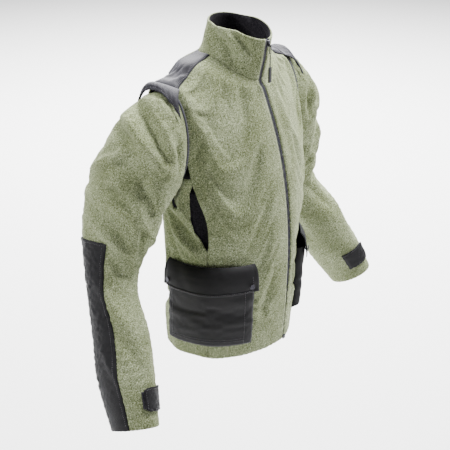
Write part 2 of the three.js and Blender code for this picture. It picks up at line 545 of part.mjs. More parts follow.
for (const [name, , x] of SIDES) {
  const surface = (t, u) => sleeve(t, u, x);
  const tube = { surface, a0: 0, a1: 360, ring: true, flip: x, na: 20, inner: -CLOTH, outer: 0 };
  const elbow = elbowFrame(x);
  const upper = cut(sheet({ ...tube, v0: 0, v1: ELBOW_U - 0.02, nv: 10 }), elbowWedge(elbow, false));
  add(`sleeve_head_${name}`, cut(upper, beyondHead(x)), FLEECE);
  add(`upper_sleeve_${name}`, cut(upper, withinHead(x)), FLEECE);
  add(`lower_sleeve_${name}`, join(
    cut(sheet({ ...tube, v0: ELBOW_U + 0.02, v1: CUFF_U, nv: 8 }), elbowWedge(elbow, true)),
    elbowBall(elbow),
  ), FLEECE);

  // Tape ring of the zip that lets the sleeve come off, between body and sleeve.
  const ringShape = new THREE.Shape().absellipse(0, 0, ARMHOLE_HALF_DEPTH - 1, ARMHOLE_HALF_HEIGHT - 1,
    0, 2 * Math.PI);
  ringShape.holes.push(new THREE.Path().absellipse(0, 0, ARMHOLE_HALF_DEPTH - 9,
    ARMHOLE_HALF_HEIGHT - 9, 0, 2 * Math.PI));
  const ring = new THREE.ExtrudeGeometry(ringShape, { depth: ARMHOLE_TAPE, bevelEnabled: false,
    curveSegments: 10 });
  const basis = new THREE.Matrix4().makeBasis(vec(0, 1, 0), vec(0, 0, 1), vec(1, 0, 0));
  ring.applyMatrix4(basis);
  ring.translate(x > 0 ? ARMHOLE_X + SEAM_GAP : -ARMHOLE_X - SEAM_GAP - ARMHOLE_TAPE,
    ARMHOLE_CENTRE_Y, ARMHOLE_Z);
  add(`armhole_zip_${name}`, ring, TAPE);

  // Reinforcement strip down the back of the forearm, and the cuff tab with its hook patch.
  add(`forearm_patch_${name}`, sheet({ surface, a0: PATCH_START, a1: PATCH_END, v0: ELBOW_U + PATCH_BELOW_ELBOW,
    v1: CUFF_U, na: 5, nv: 15, inner: PATCH_GAP + 0.6, outer: PATCH_GAP + 0.6 + WEBBING, flip: x }), CORDURA);
  const wrist = sleeve(40, CUFF_U, x).distanceTo(sleeve(41, CUFF_U, x));
  const rows = sleeve(40, CUFF_U, x).distanceTo(sleeve(40, CUFF_U - 1, x));
  const tabEnd = CUFF_TAB_START + CUFF_TAB_LENGTH / wrist;
  const tabTop = CUFF_U - CUFF_TAB_FOOT - CUFF_TAB_WIDTH / rows;
  add(`cuff_hook_patch_${name}`, sheet({ surface, a0: tabEnd - 24, a1: tabEnd + 4, v0: tabTop + 0.06,
    v1: CUFF_U - CUFF_TAB_FOOT - 0.06, na: 4, nv: 2, inner: PATCH_GAP, outer: PATCH_GAP + 1.2, flip: x }), TAPE);
  add(`cuff_tab_${name}`, sheet({ surface, a0: CUFF_TAB_START, a1: tabEnd, v0: tabTop,
    v1: CUFF_U - CUFF_TAB_FOOT, na: 8, nv: 2, inner: 2 * PATCH_GAP + 1, outer: 2 * PATCH_GAP + 1 + WEBBING,
    flip: x }), CORDURA);
}

// Shoulder flaps: bands that run off the yokes and hang over the tops of the sleeves.
function shoulderFlap(name, turn, x) {
  const inner = 6.15;
  const surface = (a, s) => {
    const along = (turn * a - FRONT_SEAM) / (BACK_SEAM - FRONT_SEAM);
    const start = body(a, inner).addScaledVector(outwardNormal(body, a, inner), up(FACET_GAP));
    const t = mix(28, 152, along);
    const over = outwardNormal((p, q) => sleeve(p, q, x), t, 0.35, x);
    const end = sleeve(t, 0.35, x).addScaledVector(over, 4);
    return start.lerp(end, s);
  };
  add(`shoulder_flap_${name}`, sheet({ surface, a0: turn * (FRONT_SEAM + 1), a1: turn * (BACK_SEAM - 1),
    v0: 0, v1: 1, na: 10, nv: 3, inner: 0, outer: WEBBING, flip: -1 }), CORDURA);
}
for (const [name, turn, x] of SIDES) shoulderFlap(name, turn, x);

// Hanger loop: an arch of flat strap inside the back of the neck, flat where a hook bears.
const LOOP_Y = body(180, NECK_V).y - 2 * CLOTH - 3 * FACET_GAP - LOOP_WIDTH / 2;
const LOOP_Z = body(180, NECK_V).z;
function hangerLoop() {
  const arch = (half, rise) => [[-half, 0], [-half * 0.92, rise * 0.5], [-half * 0.4, rise],
    [half * 0.4, rise], [half * 0.92, rise * 0.5], [half, 0]].map(([x, z]) => new THREE.Vector2(x, z));
  const outer = arch(LOOP_SPAN / 2 + LOOP_STRAP, LOOP_RISE + LOOP_STRAP);
  const inner = arch(LOOP_SPAN / 2, LOOP_RISE);
  const outline = new THREE.Shape([...outer, ...inner.reverse()]);
  return new THREE.ExtrudeGeometry(outline, { depth: LOOP_WIDTH, bevelEnabled: false })
    .rotateX(Math.PI / 2).translate(0, LOOP_Y + LOOP_WIDTH / 2, LOOP_Z);
}
add('hanger_loop', hangerLoop(), CORDURA);

// The group's origin sits on the underside of the loop, where the hook bears.
jacket.position.set(0, -LOOP_Y, -(LOOP_Z + LOOP_RISE));
export default jacket;
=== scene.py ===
"""A zip-front jacket in heathered fleece with black woven trims, hanging from the loop in its neck."""
import math

import bmesh
import bpy
import numpy as np
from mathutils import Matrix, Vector


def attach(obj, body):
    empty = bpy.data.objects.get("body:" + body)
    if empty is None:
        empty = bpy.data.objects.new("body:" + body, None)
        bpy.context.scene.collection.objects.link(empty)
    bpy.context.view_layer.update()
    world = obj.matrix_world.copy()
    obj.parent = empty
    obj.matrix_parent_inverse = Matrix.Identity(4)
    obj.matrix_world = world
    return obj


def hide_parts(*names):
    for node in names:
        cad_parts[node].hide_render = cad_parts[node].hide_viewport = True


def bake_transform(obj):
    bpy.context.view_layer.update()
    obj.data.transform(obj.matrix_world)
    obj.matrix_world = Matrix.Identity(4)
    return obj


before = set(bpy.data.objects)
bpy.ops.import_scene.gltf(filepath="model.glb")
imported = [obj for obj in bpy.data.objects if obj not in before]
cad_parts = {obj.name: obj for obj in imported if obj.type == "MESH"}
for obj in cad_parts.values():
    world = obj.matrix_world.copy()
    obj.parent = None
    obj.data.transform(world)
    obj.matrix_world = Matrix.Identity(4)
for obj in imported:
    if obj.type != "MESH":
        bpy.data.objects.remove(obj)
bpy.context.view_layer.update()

# ---- camera ------------------------------------------------------------------------------------
CAMERA_AZIMUTH = math.radians(-54)
CAMERA_ELEVATION = math.radians(23)
CAMERA_DISTANCE = 2.24
CAMERA_TARGET = Vector((-0.026, -0.0445, -0.445))
CAMERA_LENS = 74


def make_camera():
    data = bpy.data.cameras.new("camera")
    data.lens = CAMERA_LENS
    camera = bpy.data.objects.new("camera", data)
    away = Vector((math.sin(CAMERA_AZIMUTH) * math.cos(CAMERA_ELEVATION),
                   -math.cos(CAMERA_AZIMUTH) * math.cos(CAMERA_ELEVATION),
                   math.sin(CAMERA_ELEVATION)))
    camera.location = CAMERA_TARGET + away * CAMERA_DISTANCE
    camera.rotation_euler = away.to_track_quat("Z", "Y").to_euler()
    bpy.context.scene.collection.objects.link(camera)
    bpy.context.scene.camera = camera


make_camera()

# ---- the pattern: every size in millimetres, hem near z 0, front towards -y --------------------
MM = 0.001
LOOP = np.array([0.0, 44.5, 722.0])     # underside of the hanger loop, the frame's origin
CLOTH = 2.8                             # bonded fleece
WEBBING = 1.8                           # woven trim
NECK = 8.0                              # ring of the neck seam
COLLAR_TOP = 10.0
YOKE_FOOT = 6.0                         # ring where the shoulder yoke starts
SIDE_TOP = 4.0                          # ring where the side panel ends under the arm
FRONT_SEAM = 73.0                       # degrees round from the zip
BACK_SEAM = 113.0
YOKE_FRONT_AT_NECK = 86.0
YOKE_BACK_AT_NECK = 138.0
ARMHOLE_X = 216.0
SLEEVE_X = 222.0
ARMHOLE_Z = 542.0
ZIP_OPENING = 6.8
BACK_FULLNESS = 2.1
POCKET_FRONT, POCKET_BACK = 34.0, 106.0
POCKET_FOOT, POCKET_MOUTH = 44.0, 214.0
POCKET_DEPTH = 21.0
HAND_POCKET_LOW, HAND_POCKET_HIGH = 2.42, 3.92    # rings between which the opening gapes
BAG_FOOT, BAG_TOP = 260.0, 424.0        # the hand pocket's bag, inside the front
BAG_FRONT, BAG_BACK = 39.0, 80.0
BAG_DEPTH = 15.0
HEM_TURN = 22.0                         # cloth turned up at the body's foot
CUFF_HEM = 24.0                         # and at the cuff
ELBOW = 5.0                             # station of the elbow
CUFF = 9.0
PATCH_FROM, PATCH_TO = 68.0, 168.0
TAB_START, TAB_LENGTH, TAB_WIDTH, TAB_FOOT = -50.0, 62.0, 44.0, 0.38
SIDES = (("right", 1, -1), ("left", -1, 1))     # name, sign of the body angle, sign of x

# One row per ring from hem to collar top: heights at front, side and back, half widths right and
# left, y of front, side and back, and the fullness of each front quarter.
BODY = np.array([
    [6, 6, 0, 197, 179, -157, -10, 130, 2.1, 1.5],
    [120, 120, 115, 201, 184, -166, -14, 125, 2.1, 1.5],
    [240, 240, 235, 203, 191, -170, -16, 123, 2.15, 1.6],
    [355, 355, 350, 209, 207, -163, -10, 127, 2.2, 1.9],
    [455, 460, 458, 224, 224, -147, 4, 131, 2.2, 2.1],
    [535, 570, 548, 232, 232, -125, 24, 132, 2.2, 2.2],
    [592, 652, 625, 222, 222, -104, 32, 124, 2.1, 2.1],
    [624, 690, 678, 146, 146, -91, 20, 98, 2, 2],
    [642, 706, 706, 90, 90, -81, 2, 64, 2, 2],
    [690.4, 740, 744.9, 73, 73, -91, -6, 55, 2, 2],
    [735, 765, 778, 69, 69, -98, -12, 47, 2, 2],
])
# One row per station from armhole to cuff: x and z of the inner and outer lines from the armhole's
# centre, y of the middle, half depth and forward tilt in degrees.
SLEEVE = np.array([
    [0, -110, 0, 110, 15, 58, 0],
    [5, -122, 50, 97, 24, 78, 0],
    [12, -134, 106, 32, 38, 92, 0],
    [24, -152, 160, -92, 55, 96, 0],
    [46, -210, 180, -158, 60, 88, 2],
    [77, -266, 193, -222, 61, 68, 8],
    [110, -331, 212, -295, 42, 60, 18],
    [136, -408, 242, -372, -2, 71, 22],
    [164, -488, 270, -450, -37, 73, 22],
    [206, -576, 292, -546, -87, 60, 24],
])


def mix(p, q, t):
    return p + (q - p) * t


def smooth(low, high, t):
    s = np.clip((t - low) / (high - low), 0, 1)
    return s * s * (3 - 2 * s)


def rows_at(rows, t):
    """Catmull-Rom through rows of numbers at whole-number parameters."""
    last = len(rows) - 1
    s = np.clip(t, 0, last)
    i = np.minimum(s.astype(int), last - 1)
    f = (s - i)[..., None]
    a, b, c, d = (rows[np.clip(i + k, 0, last)] for k in (-1, 0, 1, 2))
    return 0.5 * (2 * b + (c - a) * f + (2 * a - 5 * b + 4 * c - d) * f ** 2
                  + (3 * b - a - 3 * c + d) * f ** 3)


def body_form(a, v):
    """Point of the smooth body at angle a from the zip towards the wearer's right, on ring v."""
    a, v = np.broadcast_arrays(np.asarray(a, float), np.asarray(v, float))
    z_front, z_side, z_back, right, left, y_front, y_side, y_back, n_right, n_left = np.moveaxis(
        rows_at(BODY, v), -1, 0)
    s, c = np.sin(np.radians(a)), np.cos(np.radians(a))
    n = np.where(c > 0, np.where(s > 0, n_right, n_left), BACK_FULLNESS)
    x = -np.where(s > 0, right, left) * np.sign(s) * np.abs(s) ** (2 / n)
    y = mix(y_side, np.where(c > 0, y_front, y_back), np.abs(c) ** (2 / n))
    z = mix(z_side, np.where(c > 0, z_front, z_back), np.abs(c) ** 1.6)
    return np.stack([x, y, z], -1)


def sleeve_form(side):
    """Point of that side's smooth sleeve at angle t (0 front, 90 outside) on station u."""
    def form(t, u):
        t, u = np.broadcast_arrays(np.asarray(t, float), np.asarray(u, float))
        xi, zi, xo, zo, y, depth, tilt = np.moveaxis(rows_at(SLEEVE, u), -1, 0)
        s, c = np.sin(np.radians(t)), np.cos(np.radians(t))
        lean = np.radians(tilt)
        x = (xi + xo) / 2 + (xo - xi) / 2 * s
        return np.stack([side * (SLEEVE_X + x), y - depth * np.cos(lean) * c,
                         ARMHOLE_Z + (zi + zo) / 2 + (zo - zi) / 2 * s + depth * np.sin(lean) * c], -1)
    return form


def ring_at_height(a, z):
    """Ring at which the smooth body reaches height z, at angle a."""
    a, z = np.broadcast_arrays(np.asarray(a, float), np.asarray(z, float))
    low, high = np.zeros(a.shape), np.full(a.shape, COLLAR_TOP)
    for _ in range(32):
        middle = (low + high) / 2
        below = body_form(a, middle)[..., 2] < z
        low, high = np.where(below, middle, low), np.where(below, high, middle)
    return (low + high) / 2


def angle_from_zip(x, v, turn):
    """Body angle at which the front lies x millimetres from the zip, on that side."""
    row = rows_at(BODY, np.asarray(v, float))
    w, n = (row[..., 3], row[..., 8]) if turn > 0 else (row[..., 4], row[..., 9])
    return turn * np.degrees(np.arcsin(np.clip(x / w, 0, 1) ** (n / 2)))


# ---- cloth: a smooth form with the folds it has taken -------------------------------------------
class Cloth:
    """A closed tube of cloth. Its folds are kept as shifts on a grid of angle and ring."""

    def __init__(self, form, columns, rings, outward):
        self.form, self.rings, self.outward = form, rings, outward
        self.columns = columns
        self.angles = np.arange(columns) * 360 / columns
        self.grid = form(self.angles[None, :], rings[:, None])
        self.shift = np.zeros_like(self.grid)

    def point(self, a, v):
        a, v = np.broadcast_arrays(np.asarray(a, float), np.asarray(v, float))
        col = a / 360 * self.columns
        row = np.interp(v, self.rings, np.arange(len(self.rings)))
        i, j = np.floor(col).astype(int), np.floor(row).astype(int)
        shift = np.zeros(a.shape + (3,))
        across, along = cubic(col - i), cubic(row - j)
        for dj in range(4):
            jj = np.clip(j + dj - 1, 0, len(self.rings) - 1)
            for di in range(4):
                ii = (i + di - 1) % self.columns
                shift += self.shift[jj, ii] * (across[di] * along[dj])[..., None]
        return self.form(a, v) + shift

    def normal(self, a, v, da=0.7, dv=0.025):
        along_v = self.point(a, np.asarray(v) + dv) - self.point(a, np.asarray(v) - dv)
        along_a = self.point(np.asarray(a) + da, v) - self.point(np.asarray(a) - da, v)
        n = np.cross(along_v, along_a) * self.outward
        return n / np.maximum(np.linalg.norm(n, axis=-1, keepdims=True), 1e-9)

    def off(self, a, v, distance):
        return self.point(a, v) + self.normal(a, v) * np.asarray(distance)[..., None]

    def fold(self, route, width, height):
        """Raise a ridge, or sink a valley, along a route of (angle, ring) points."""
        legs = np.array(route, float)
        t = np.linspace(0, 1, 33)
        at = t * (len(legs) - 1)
        a = np.interp(at, np.arange(len(legs)), legs[:, 0])
        v = np.interp(at, np.arange(len(legs)), legs[:, 1])
        line = self.form(a, v)
        taper = np.sqrt(np.sin(np.pi * np.clip(t, 0.04, 0.96)))
        reach = np.full(self.grid.shape[:2], 1e9)
        share = np.zeros(self.grid.shape[:2])
        for p, k in zip(line, taper):
            d = np.linalg.norm(self.grid - p, axis=-1)
            nearer = d < reach
            reach, share = np.where(nearer, d, reach), np.where(nearer, k, share)
        self.shift += (self.base_normal() * (height * share * np.exp(-(reach / width) ** 2))[..., None])

    def base_normal(self):
        if not hasattr(self, "_normal"):
            kept, self.shift = self.shift, np.zeros_like(self.grid)
            self._normal = self.normal(self.angles[None, :], self.rings[:, None])
            self.shift = kept
        return self._normal


def cubic(f):
    """Catmull-Rom weights of four neighbours."""
    return (0.5 * (-f + 2 * f ** 2 - f ** 3), 0.5 * (2 - 5 * f ** 2 + 3 * f ** 3),
            0.5 * (f + 4 * f ** 2 - 3 * f ** 3), 0.5 * (-f ** 2 + f ** 3))


def ripple(p, wavelength, seed):
    """A soft wavy number from -1 to 1 for each point, from five crossing waves."""
    total = np.zeros(p.shape[:-1])
    for k in range(5):
        turn = 1.7 * k + 2.3 * seed
        heading = np.array([math.sin(turn), math.cos(1.3 * turn), math.sin(0.7 * turn + 1)])
        total += np.sin(p @ heading * (2 * math.pi / wavelength) * (0.75 + 0.16 * k) + 1.9 * turn)
    return total / 5


def settle(cloth, held, growth, stiffness, frames=18):
    """Let the cloth hang: a little longer than its form, it buckles and drapes between its seams."""
    rows, columns = cloth.grid.shape[:2]
    start = (cloth.grid + cloth.shift - LOOP) * MM
    faces = [(j * columns + i, j * columns + (i + 1) % columns,
              (j + 1) * columns + (i + 1) % columns, (j + 1) * columns + i)
             for j in range(rows - 1) for i in range(columns)]
    data = bpy.data.meshes.new("drape")
    data.from_pydata(start.reshape(-1, 3).tolist(), [], faces)
    piece = bpy.data.objects.new("drape", data)
    bpy.context.scene.collection.objects.link(piece)
    group = piece.vertex_groups.new(name="held")
    for index, weight in enumerate(np.broadcast_to(held, (rows, columns)).ravel()):
        group.add([index], float(weight), "REPLACE")
    modifier = piece.modifiers.new("cloth", "CLOTH")
    made = modifier.settings
    made.quality = 6
    made.mass = 0.25
    made.tension_stiffness = made.compression_stiffness = 18
    made.shear_stiffness = 9
    made.bending_stiffness = stiffness
    made.air_damping = 2
    made.shrink_min = -growth
    made.vertex_group_mass = "held"
    made.pin_stiffness = 0.6
    modifier.point_cache.frame_start = 1
    modifier.point_cache.frame_end = frames
    scene = bpy.context.scene
    for number in range(1, frames + 1):
        scene.frame_set(number)
    evaluated = piece.evaluated_get(bpy.context.evaluated_depsgraph_get())
    co = np.zeros(rows * columns * 3)
    evaluated.data.vertices.foreach_get("co", co)
    scene.frame_set(1)
    moved = co.reshape(rows, columns, 3) / MM + LOOP - cloth.grid - cloth.shift
    length = np.linalg.norm(moved, axis=-1, keepdims=True)
    most = 16.0
    cloth.shift += moved * np.minimum(1, most / np.maximum(length, 1e-9))
    bpy.data.objects.remove(piece)
    bpy.data.meshes.remove(data)


# ---- the folds -----------------------------------------------------------------------------------
# Route of (angle, ring) points, width and height in millimetres; a minus height is a valley.
BODY_FOLDS = [
    ([(102, 3.24), (91, 2.99), (84, 2.73), (72, 2.40)], 11, -10),      # under the hand pocket
    ([(98, 3.5), (86, 3.25), (80, 3.0), (76, 2.65)], 12, 6),
    ([(104, 2.95), (92, 2.7), (82, 2.45), (72, 2.22)], 10, 5),
    ([(46, 5.55), (53, 5.06), (60, 4.67), (69, 4.19)], 13, -6),        # from the chest to the pocket
    ([(38, 5.3), (46, 4.8), (56, 4.35)], 18, 4),
    ([(32, 4.56), (50, 4.35), (66, 4.16)], 14, -3),
    ([(58, 6.3), (60, 5.7), (64, 5.2)], 12, 4),
    ([(72, 2.36), (54, 2.32), (35, 2.24)], 7, -4),                     # above the cargo pocket
    ([(16, 1.76), (20, 1.2), (24, 0.85)], 10, -4),
    ([(27, 1.9), (28, 1.2), (30, 0.5)], 10, 3),
    ([(31, 7.12), (20, 6.5), (10, 5.86)], 11, -3),
    ([(118, 2.7), (121, 2.1), (130, 1.6)], 12, -8),
    ([(108, 2.4), (112, 1.9), (116, 1.3)], 12, 5),
    ([(-100, 3.3), (-90, 3.0), (-80, 2.6), (-72, 2.4)], 12, -8),
    ([(-46, 5.4), (-54, 4.9), (-64, 4.3)], 13, -5),
    ([(-14, 1.9), (-18, 1.2), (-16, 0.4)], 12, -4),
    ([(-8, 6.4), (-6, 5.2), (-9, 4.0)], 14, -3),
    ([(135, 3.0), (160, 2.7), (185, 2.75), (215, 2.6)], 15, -7),       # across the small of the back
    ([(140, 2.5), (170, 2.35), (200, 2.3)], 13, 5),
    ([(128, 4.6), (145, 3.9), (160, 3.4)], 15, -6),
    ([(232, 4.6), (216, 3.9), (202, 3.5)], 15, -6),
    ([(150, 5.4), (160, 4.6), (172, 4.0)], 18, 5),
    ([(212, 5.2), (200, 4.5), (190, 4.1)], 16, 5),
    ([(150, 1.8), (146, 1.0), (150, 0.2)], 16, -7),
    ([(196, 1.6), (200, 0.9), (197, 0.1)], 16, -7),
    ([(172, 1.9), (174, 1.0), (172, 0.2)], 16, 5),
    ([(124, 1.5), (128, 0.8), (126, 0.1)], 13, 5),
]
COLLAR_FOLDS = [
    ([(118, 9.8), (92, 9.35), (66, 8.8), (48, 8.3)], 7, -6),
    ([(100, 9.95), (76, 9.55), (52, 9.1), (34, 8.6)], 7, 5),
    ([(70, 9.9), (48, 9.5), (28, 9.1)], 6, -5),
    ([(128, 9.2), (108, 8.8), (88, 8.4)], 7, 4),
    ([(240, 9.7), (262, 9.3), (286, 8.8)], 8, -5),
    ([(262, 9.8), (290, 9.4), (318, 9.0)], 7, 4),
    ([(160, 8.5), (180, 8.7), (200, 8.5)], 8, -3),
]
SLEEVE_FOLDS = [
    ([(111, 1.55), (68, 1.98), (34, 2.14), (10, 2.16)], 16, 11),       # the long ridge over the bicep
    ([(116, 1.86), (90, 2.02), (72, 2.15)], 12, -14),
    ([(72, 2.24), (92, 2.38), (117, 2.48), (144, 2.56)], 10, 9),
    ([(98, 2.5), (74, 2.47), (48, 2.56), (24, 2.84), (3, 3.4)], 15, -12),
    ([(110, 2.72), (72, 2.74), (39, 3.05), (18, 3.66)], 9, 8),
    ([(150, 2.68), (118, 2.64), (92, 2.62)], 7, -7),
    ([(92, 2.86), (63, 2.93), (46, 3.08)], 8, -8),
    ([(138, 2.98), (77, 3.08), (41, 3.4), (14, 4.3)], 13, 9),
    ([(32, 3.5), (20, 3.85), (6, 4.4), (-13, 4.7)], 8, -11),           # the crease inside the elbow
    ([(105, 3.42), (60, 3.95), (28, 4.6)], 11, -8),
    ([(98, 3.83), (48, 4.46), (-14, 5.1)], 14, 8),
    ([(-20, 4.3), (-8, 4.0), (4, 3.9)], 8, 6),
    ([(112, 1.05), (86, 1.38), (62, 1.57), (46, 1.68), (26, 2.0)], 14, -11),
    ([(56, 1.35), (30, 1.6), (8, 1.68)], 13, 8),
    ([(20, 1.2), (6, 1.3), (-10, 1.5)], 10, -7),
    ([(66, 0.55), (52, 0.5), (38, 0.5)], 9, -5),
    ([(60, 4.9), (30, 5.4), (0, 5.7)], 12, -6),
    ([(84, 5.6), (56, 6.3), (30, 7.0)], 14, 5),
    ([(70, 6.6), (44, 7.3), (20, 8.0)], 13, -4),
    ([(-30, 5.3), (-10, 6.0), (2, 6.9)], 13, -5),
    ([(96, 7.3), (72, 7.9), (50, 8.5)], 12, 4),
    ([(150, 3.5), (190, 3.7), (235, 4.1)], 14, -9),
    ([(150, 1.9), (185, 2.3), (215, 2.6)], 14, -9),
    ([(140, 2.3), (170, 2.7), (205, 3.0)], 13, 7),
    ([(165, 4.5), (205, 4.7), (250, 4.6)], 13, -8),
    ([(200, 1.4), (235, 1.9), (270, 2.2)], 14, 6),
    ([(250, 3.3), (285, 3.8), (325, 4.3)], 12, -9),
    ([(240, 3.8), (275, 4.3), (310, 4.7)], 11, 6),
    ([(220, 5.8), (250, 6.6), (262, 7.6)], 16, -6),
    ([(280, 2.6), (310, 2.9), (340, 3.2)], 12, -7),
]
BODY_FOLD_HEIGHT = 1.25
COLLAR_FOLD_HEIGHT = 1.5
SLEEVE_FOLD_HEIGHT = 1.4


def make_body():
    rings = np.concatenate([np.linspace(0, NECK, 97), np.linspace(NECK, COLLAR_TOP, 19)[1:]])
    cloth = Cloth(body_form, 172, rings, 1)
    for route, width, height in BODY_FOLDS:
        cloth.fold(route, width, height * BODY_FOLD_HEIGHT)
    for route, width, height in COLLAR_FOLDS:
        cloth.fold(route, width, height * COLLAR_FOLD_HEIGHT)
    angle, ring = cloth.angles[None, :], rings[:, None]
    low = smooth(1.6, 0, ring)
    wave = 1.6 * np.sin(np.radians(angle * 7 + 40)) + 1.2 * np.sin(np.radians(angle * 12 + 10))
    away_from_back = smooth(15, 40, np.abs(180 - (angle - 180) % 360))
    cloth.shift += cloth.base_normal() * (wave * low * away_from_back)[..., None]
    near_zip = np.abs((angle + 180) % 360 - 180)
    held = np.full((len(rings), cloth.columns), 0.14)
    held = np.maximum(held, smooth(1.6, 0.1, ring) * 0.7)
    held = np.maximum(held, smooth(22, 4, near_zip) * 0.9)
    armhole = smooth(190, 212, np.abs(cloth.grid[..., 0])) * smooth(3.6, 4.2, ring)
    held = np.maximum(held, armhole)
    held = np.maximum(held, smooth(6.6, 7.4, ring) * 0.8)
    held = np.where(ring >= NECK - 0.3, 1.0, held)
    settle(cloth, held, 0.02, 0.8)
    return cloth


def make_sleeve(side):
    w = np.linspace(0, 1, 118)
    stations = CUFF * w ** 0.86
    cloth = Cloth(sleeve_form(side), 76, stations, side)
    for route, width, height in SLEEVE_FOLDS:
        cloth.fold(route, width, height * SLEEVE_FOLD_HEIGHT)
    ring = stations[:, None]
    held = np.full((len(stations), cloth.columns), 0.4)
    held = np.maximum(held, smooth(1.3, 0.5, ring))
    held = np.maximum(held, 0.4 + 0.25 * smooth(4.5, 8.5, ring))
    settle(cloth, held, 0.03, 0.8)
    return cloth


# ---- meshes ---------------------------------------------------------------------------------------
def make_object(name, points, faces, materials, face_material=None, uv=None):
    """An object from points in pattern millimetres."""
    data = bpy.data.meshes.new(name)
    data.from_pydata(((np.asarray(points, float) - LOOP) * MM).tolist(), [], faces)
    for material in materials:
        data.materials.append(material)
    if face_material is not None:
        data.polygons.foreach_set("material_index", np.asarray(face_material, np.int32))
    data.polygons.foreach_set("use_smooth", np.ones(len(data.polygons), bool))
    if uv is not None:
        layer = data.uv_layers.new(name="cut")
        corners = np.zeros(len(data.loops), np.int32)
        data.loops.foreach_get("vertex_index", corners)
        layer.data.foreach_set("uv", (uv[corners] * MM).astype(np.float32).ravel())
    data.update()
    piece = bpy.data.objects.new(name, data)
    bpy.context.scene.collection.objects.link(piece)
    return piece


def lengths(points, axis):
    """Running length along a grid's rows or columns."""
    step = np.linalg.norm(np.diff(points, axis=axis), axis=-1)
    pad = [(0, 0), (0, 0)]
    pad[axis] = (1, 0)
    return np.cumsum(np.pad(step, pad), axis=axis)


def shell(name, outer, inner, materials, closed=False):
    """A closed sheet between an outer and an inner grid of points; the last material lines it."""
    rows, columns = outer.shape[:2]
    count = rows * columns
    wrap = columns if closed else columns - 1
    row, column = rows // 2, columns // 2 - 1
    corner = outer[row, column]
    facing = np.cross(outer[row, column + 1] - corner, outer[row - 1, column] - corner)
    flip = facing @ (outer - inner)[row, column] > 0
    at = lambda j, i, layer: layer * count + j * columns + i % columns
    faces, kinds = [], []

    def quad(p, q, r, s, kind):
        faces.append((s, r, q, p) if flip else (p, q, r, s))
        kinds.append(kind)

    lining = len(materials) - 1
    for j in range(rows - 1):
        for i in range(wrap):
            quad(at(j, i, 0), at(j, i + 1, 0), at(j + 1, i + 1, 0), at(j + 1, i, 0), 0)
            quad(at(j, i, 1), at(j + 1, i, 1), at(j + 1, i + 1, 1), at(j, i + 1, 1), lining)
        if not closed:
            quad(at(j, 0, 1), at(j, 0, 0), at(j + 1, 0, 0), at(j + 1, 0, 1), 0)
            last = columns - 1
            quad(at(j, last, 0), at(j, last, 1), at(j + 1, last, 1), at(j + 1, last, 0), 0)
    for i in range(wrap):
        quad(at(0, i, 1), at(0, i + 1, 1), at(0, i + 1, 0), at(0, i, 0), 0)
        top = rows - 1
        quad(at(top, i, 0), at(top, i + 1, 0), at(top, i + 1, 1), at(top, i, 1), 0)
    flat = np.stack([lengths(outer, 1), lengths(outer, 0)], -1).reshape(-1, 2)
    points = np.concatenate([outer.reshape(-1, 3), inner.reshape(-1, 3)])
    return make_object(name, points, faces, materials, kinds, np.concatenate([flat, flat]))


def panel_grid(form, a0, a1, v0, v1, step=4.6):
    """Angles and rings of a panel's grid, with limits that are numbers or functions of the ring."""
    at = lambda limit, v: limit(v) if callable(limit) else np.full(np.shape(v), float(limit))
    v = np.linspace(v0, v1, 9)
    middle = form((at(a0, v) + at(a1, v)) / 2, v)
    tall = np.linalg.norm(np.diff(middle, axis=0), axis=-1).sum()
    share = np.linspace(0, 1, 17)
    widest = 0
    for ring in v:
        one = np.full(17, ring)
        row = form(mix(at(a0, one), at(a1, one), share), one)
        widest = max(widest, np.linalg.norm(np.diff(row, axis=0), axis=-1).sum())
    rows, columns = max(3, round(tall / step)) + 1, max(3, round(widest / step)) + 1
    v = np.linspace(v0, v1, rows)[:, None] * np.ones((1, columns))
    return mix(at(a0, v), at(a1, v), np.linspace(0, 1, columns)[None, :]), v


def edge_distances(points):
    """Distance of each grid point from the left, right, foot and top edges."""
    across, along = lengths(points, 1), lengths(points, 0)
    return across, across[:, -1:] - across, along, along[-1:] - along


def rolled(distances, depth=1.5, reach=2.6):
    """The dip of cloth that turns under at its seams."""
    return -depth * sum(np.exp(-(d / reach) ** 2) for d in distances)


def flat_size(points, within=1e9):
    """Cut size of a grid before it took its folds: width, length and area, in metres."""
    inside = np.abs(points[..., 0]) < within
    across, along = lengths(points, 1)[:, -1].max(), lengths(points, 0).max()
    u, v = points[:-1, 1:] - points[:-1, :-1], points[1:, :-1] - points[:-1, :-1]
    cells = np.linalg.norm(np.cross(u, v), axis=-1) * inside[1:, 1:]
    return (across * MM, along * MM), cells.sum() * MM ** 2


def declare(form, a, v):
    flat, area = flat_size(form(a, v))
    min(area, flat[0] * flat[1])


def tube(points, radius, sides=8, closed=False):
    """Points and faces of a round bar along a route."""
    p = np.asarray(points, float)
    count = len(p)
    ahead = np.roll(p, -1, 0) - np.roll(p, 1, 0) if closed else np.gradient(p, axis=0)
    ahead /= np.linalg.norm(ahead, axis=1, keepdims=True)
    side = np.cross(ahead[0], [0.3, 0.5, 0.81])
    rims = []
    radius = np.broadcast_to(np.asarray(radius, float), (count,))
    for k in range(count):
        side = side - ahead[k] * (side @ ahead[k])
        side /= np.linalg.norm(side)
        other = np.cross(ahead[k], side)
        turn = np.arange(sides) * 2 * math.pi / sides
        rim = np.cos(turn)[:, None] * side + np.sin(turn)[:, None] * other
        rims.append(p[k] + radius[k] * rim)
    verts = np.concatenate(rims)
    faces = []
    for k in range(count if closed else count - 1):
        for i in range(sides):
            n = (i + 1) % sides
            m = (k + 1) % count
            faces.append((k * sides + i, k * sides + n, m * sides + n, m * sides + i))
    if not closed:
        faces.append(tuple(range(sides))[::-1])
        faces.append(tuple((count - 1) * sides + i for i in range(sides)))
    return verts, faces


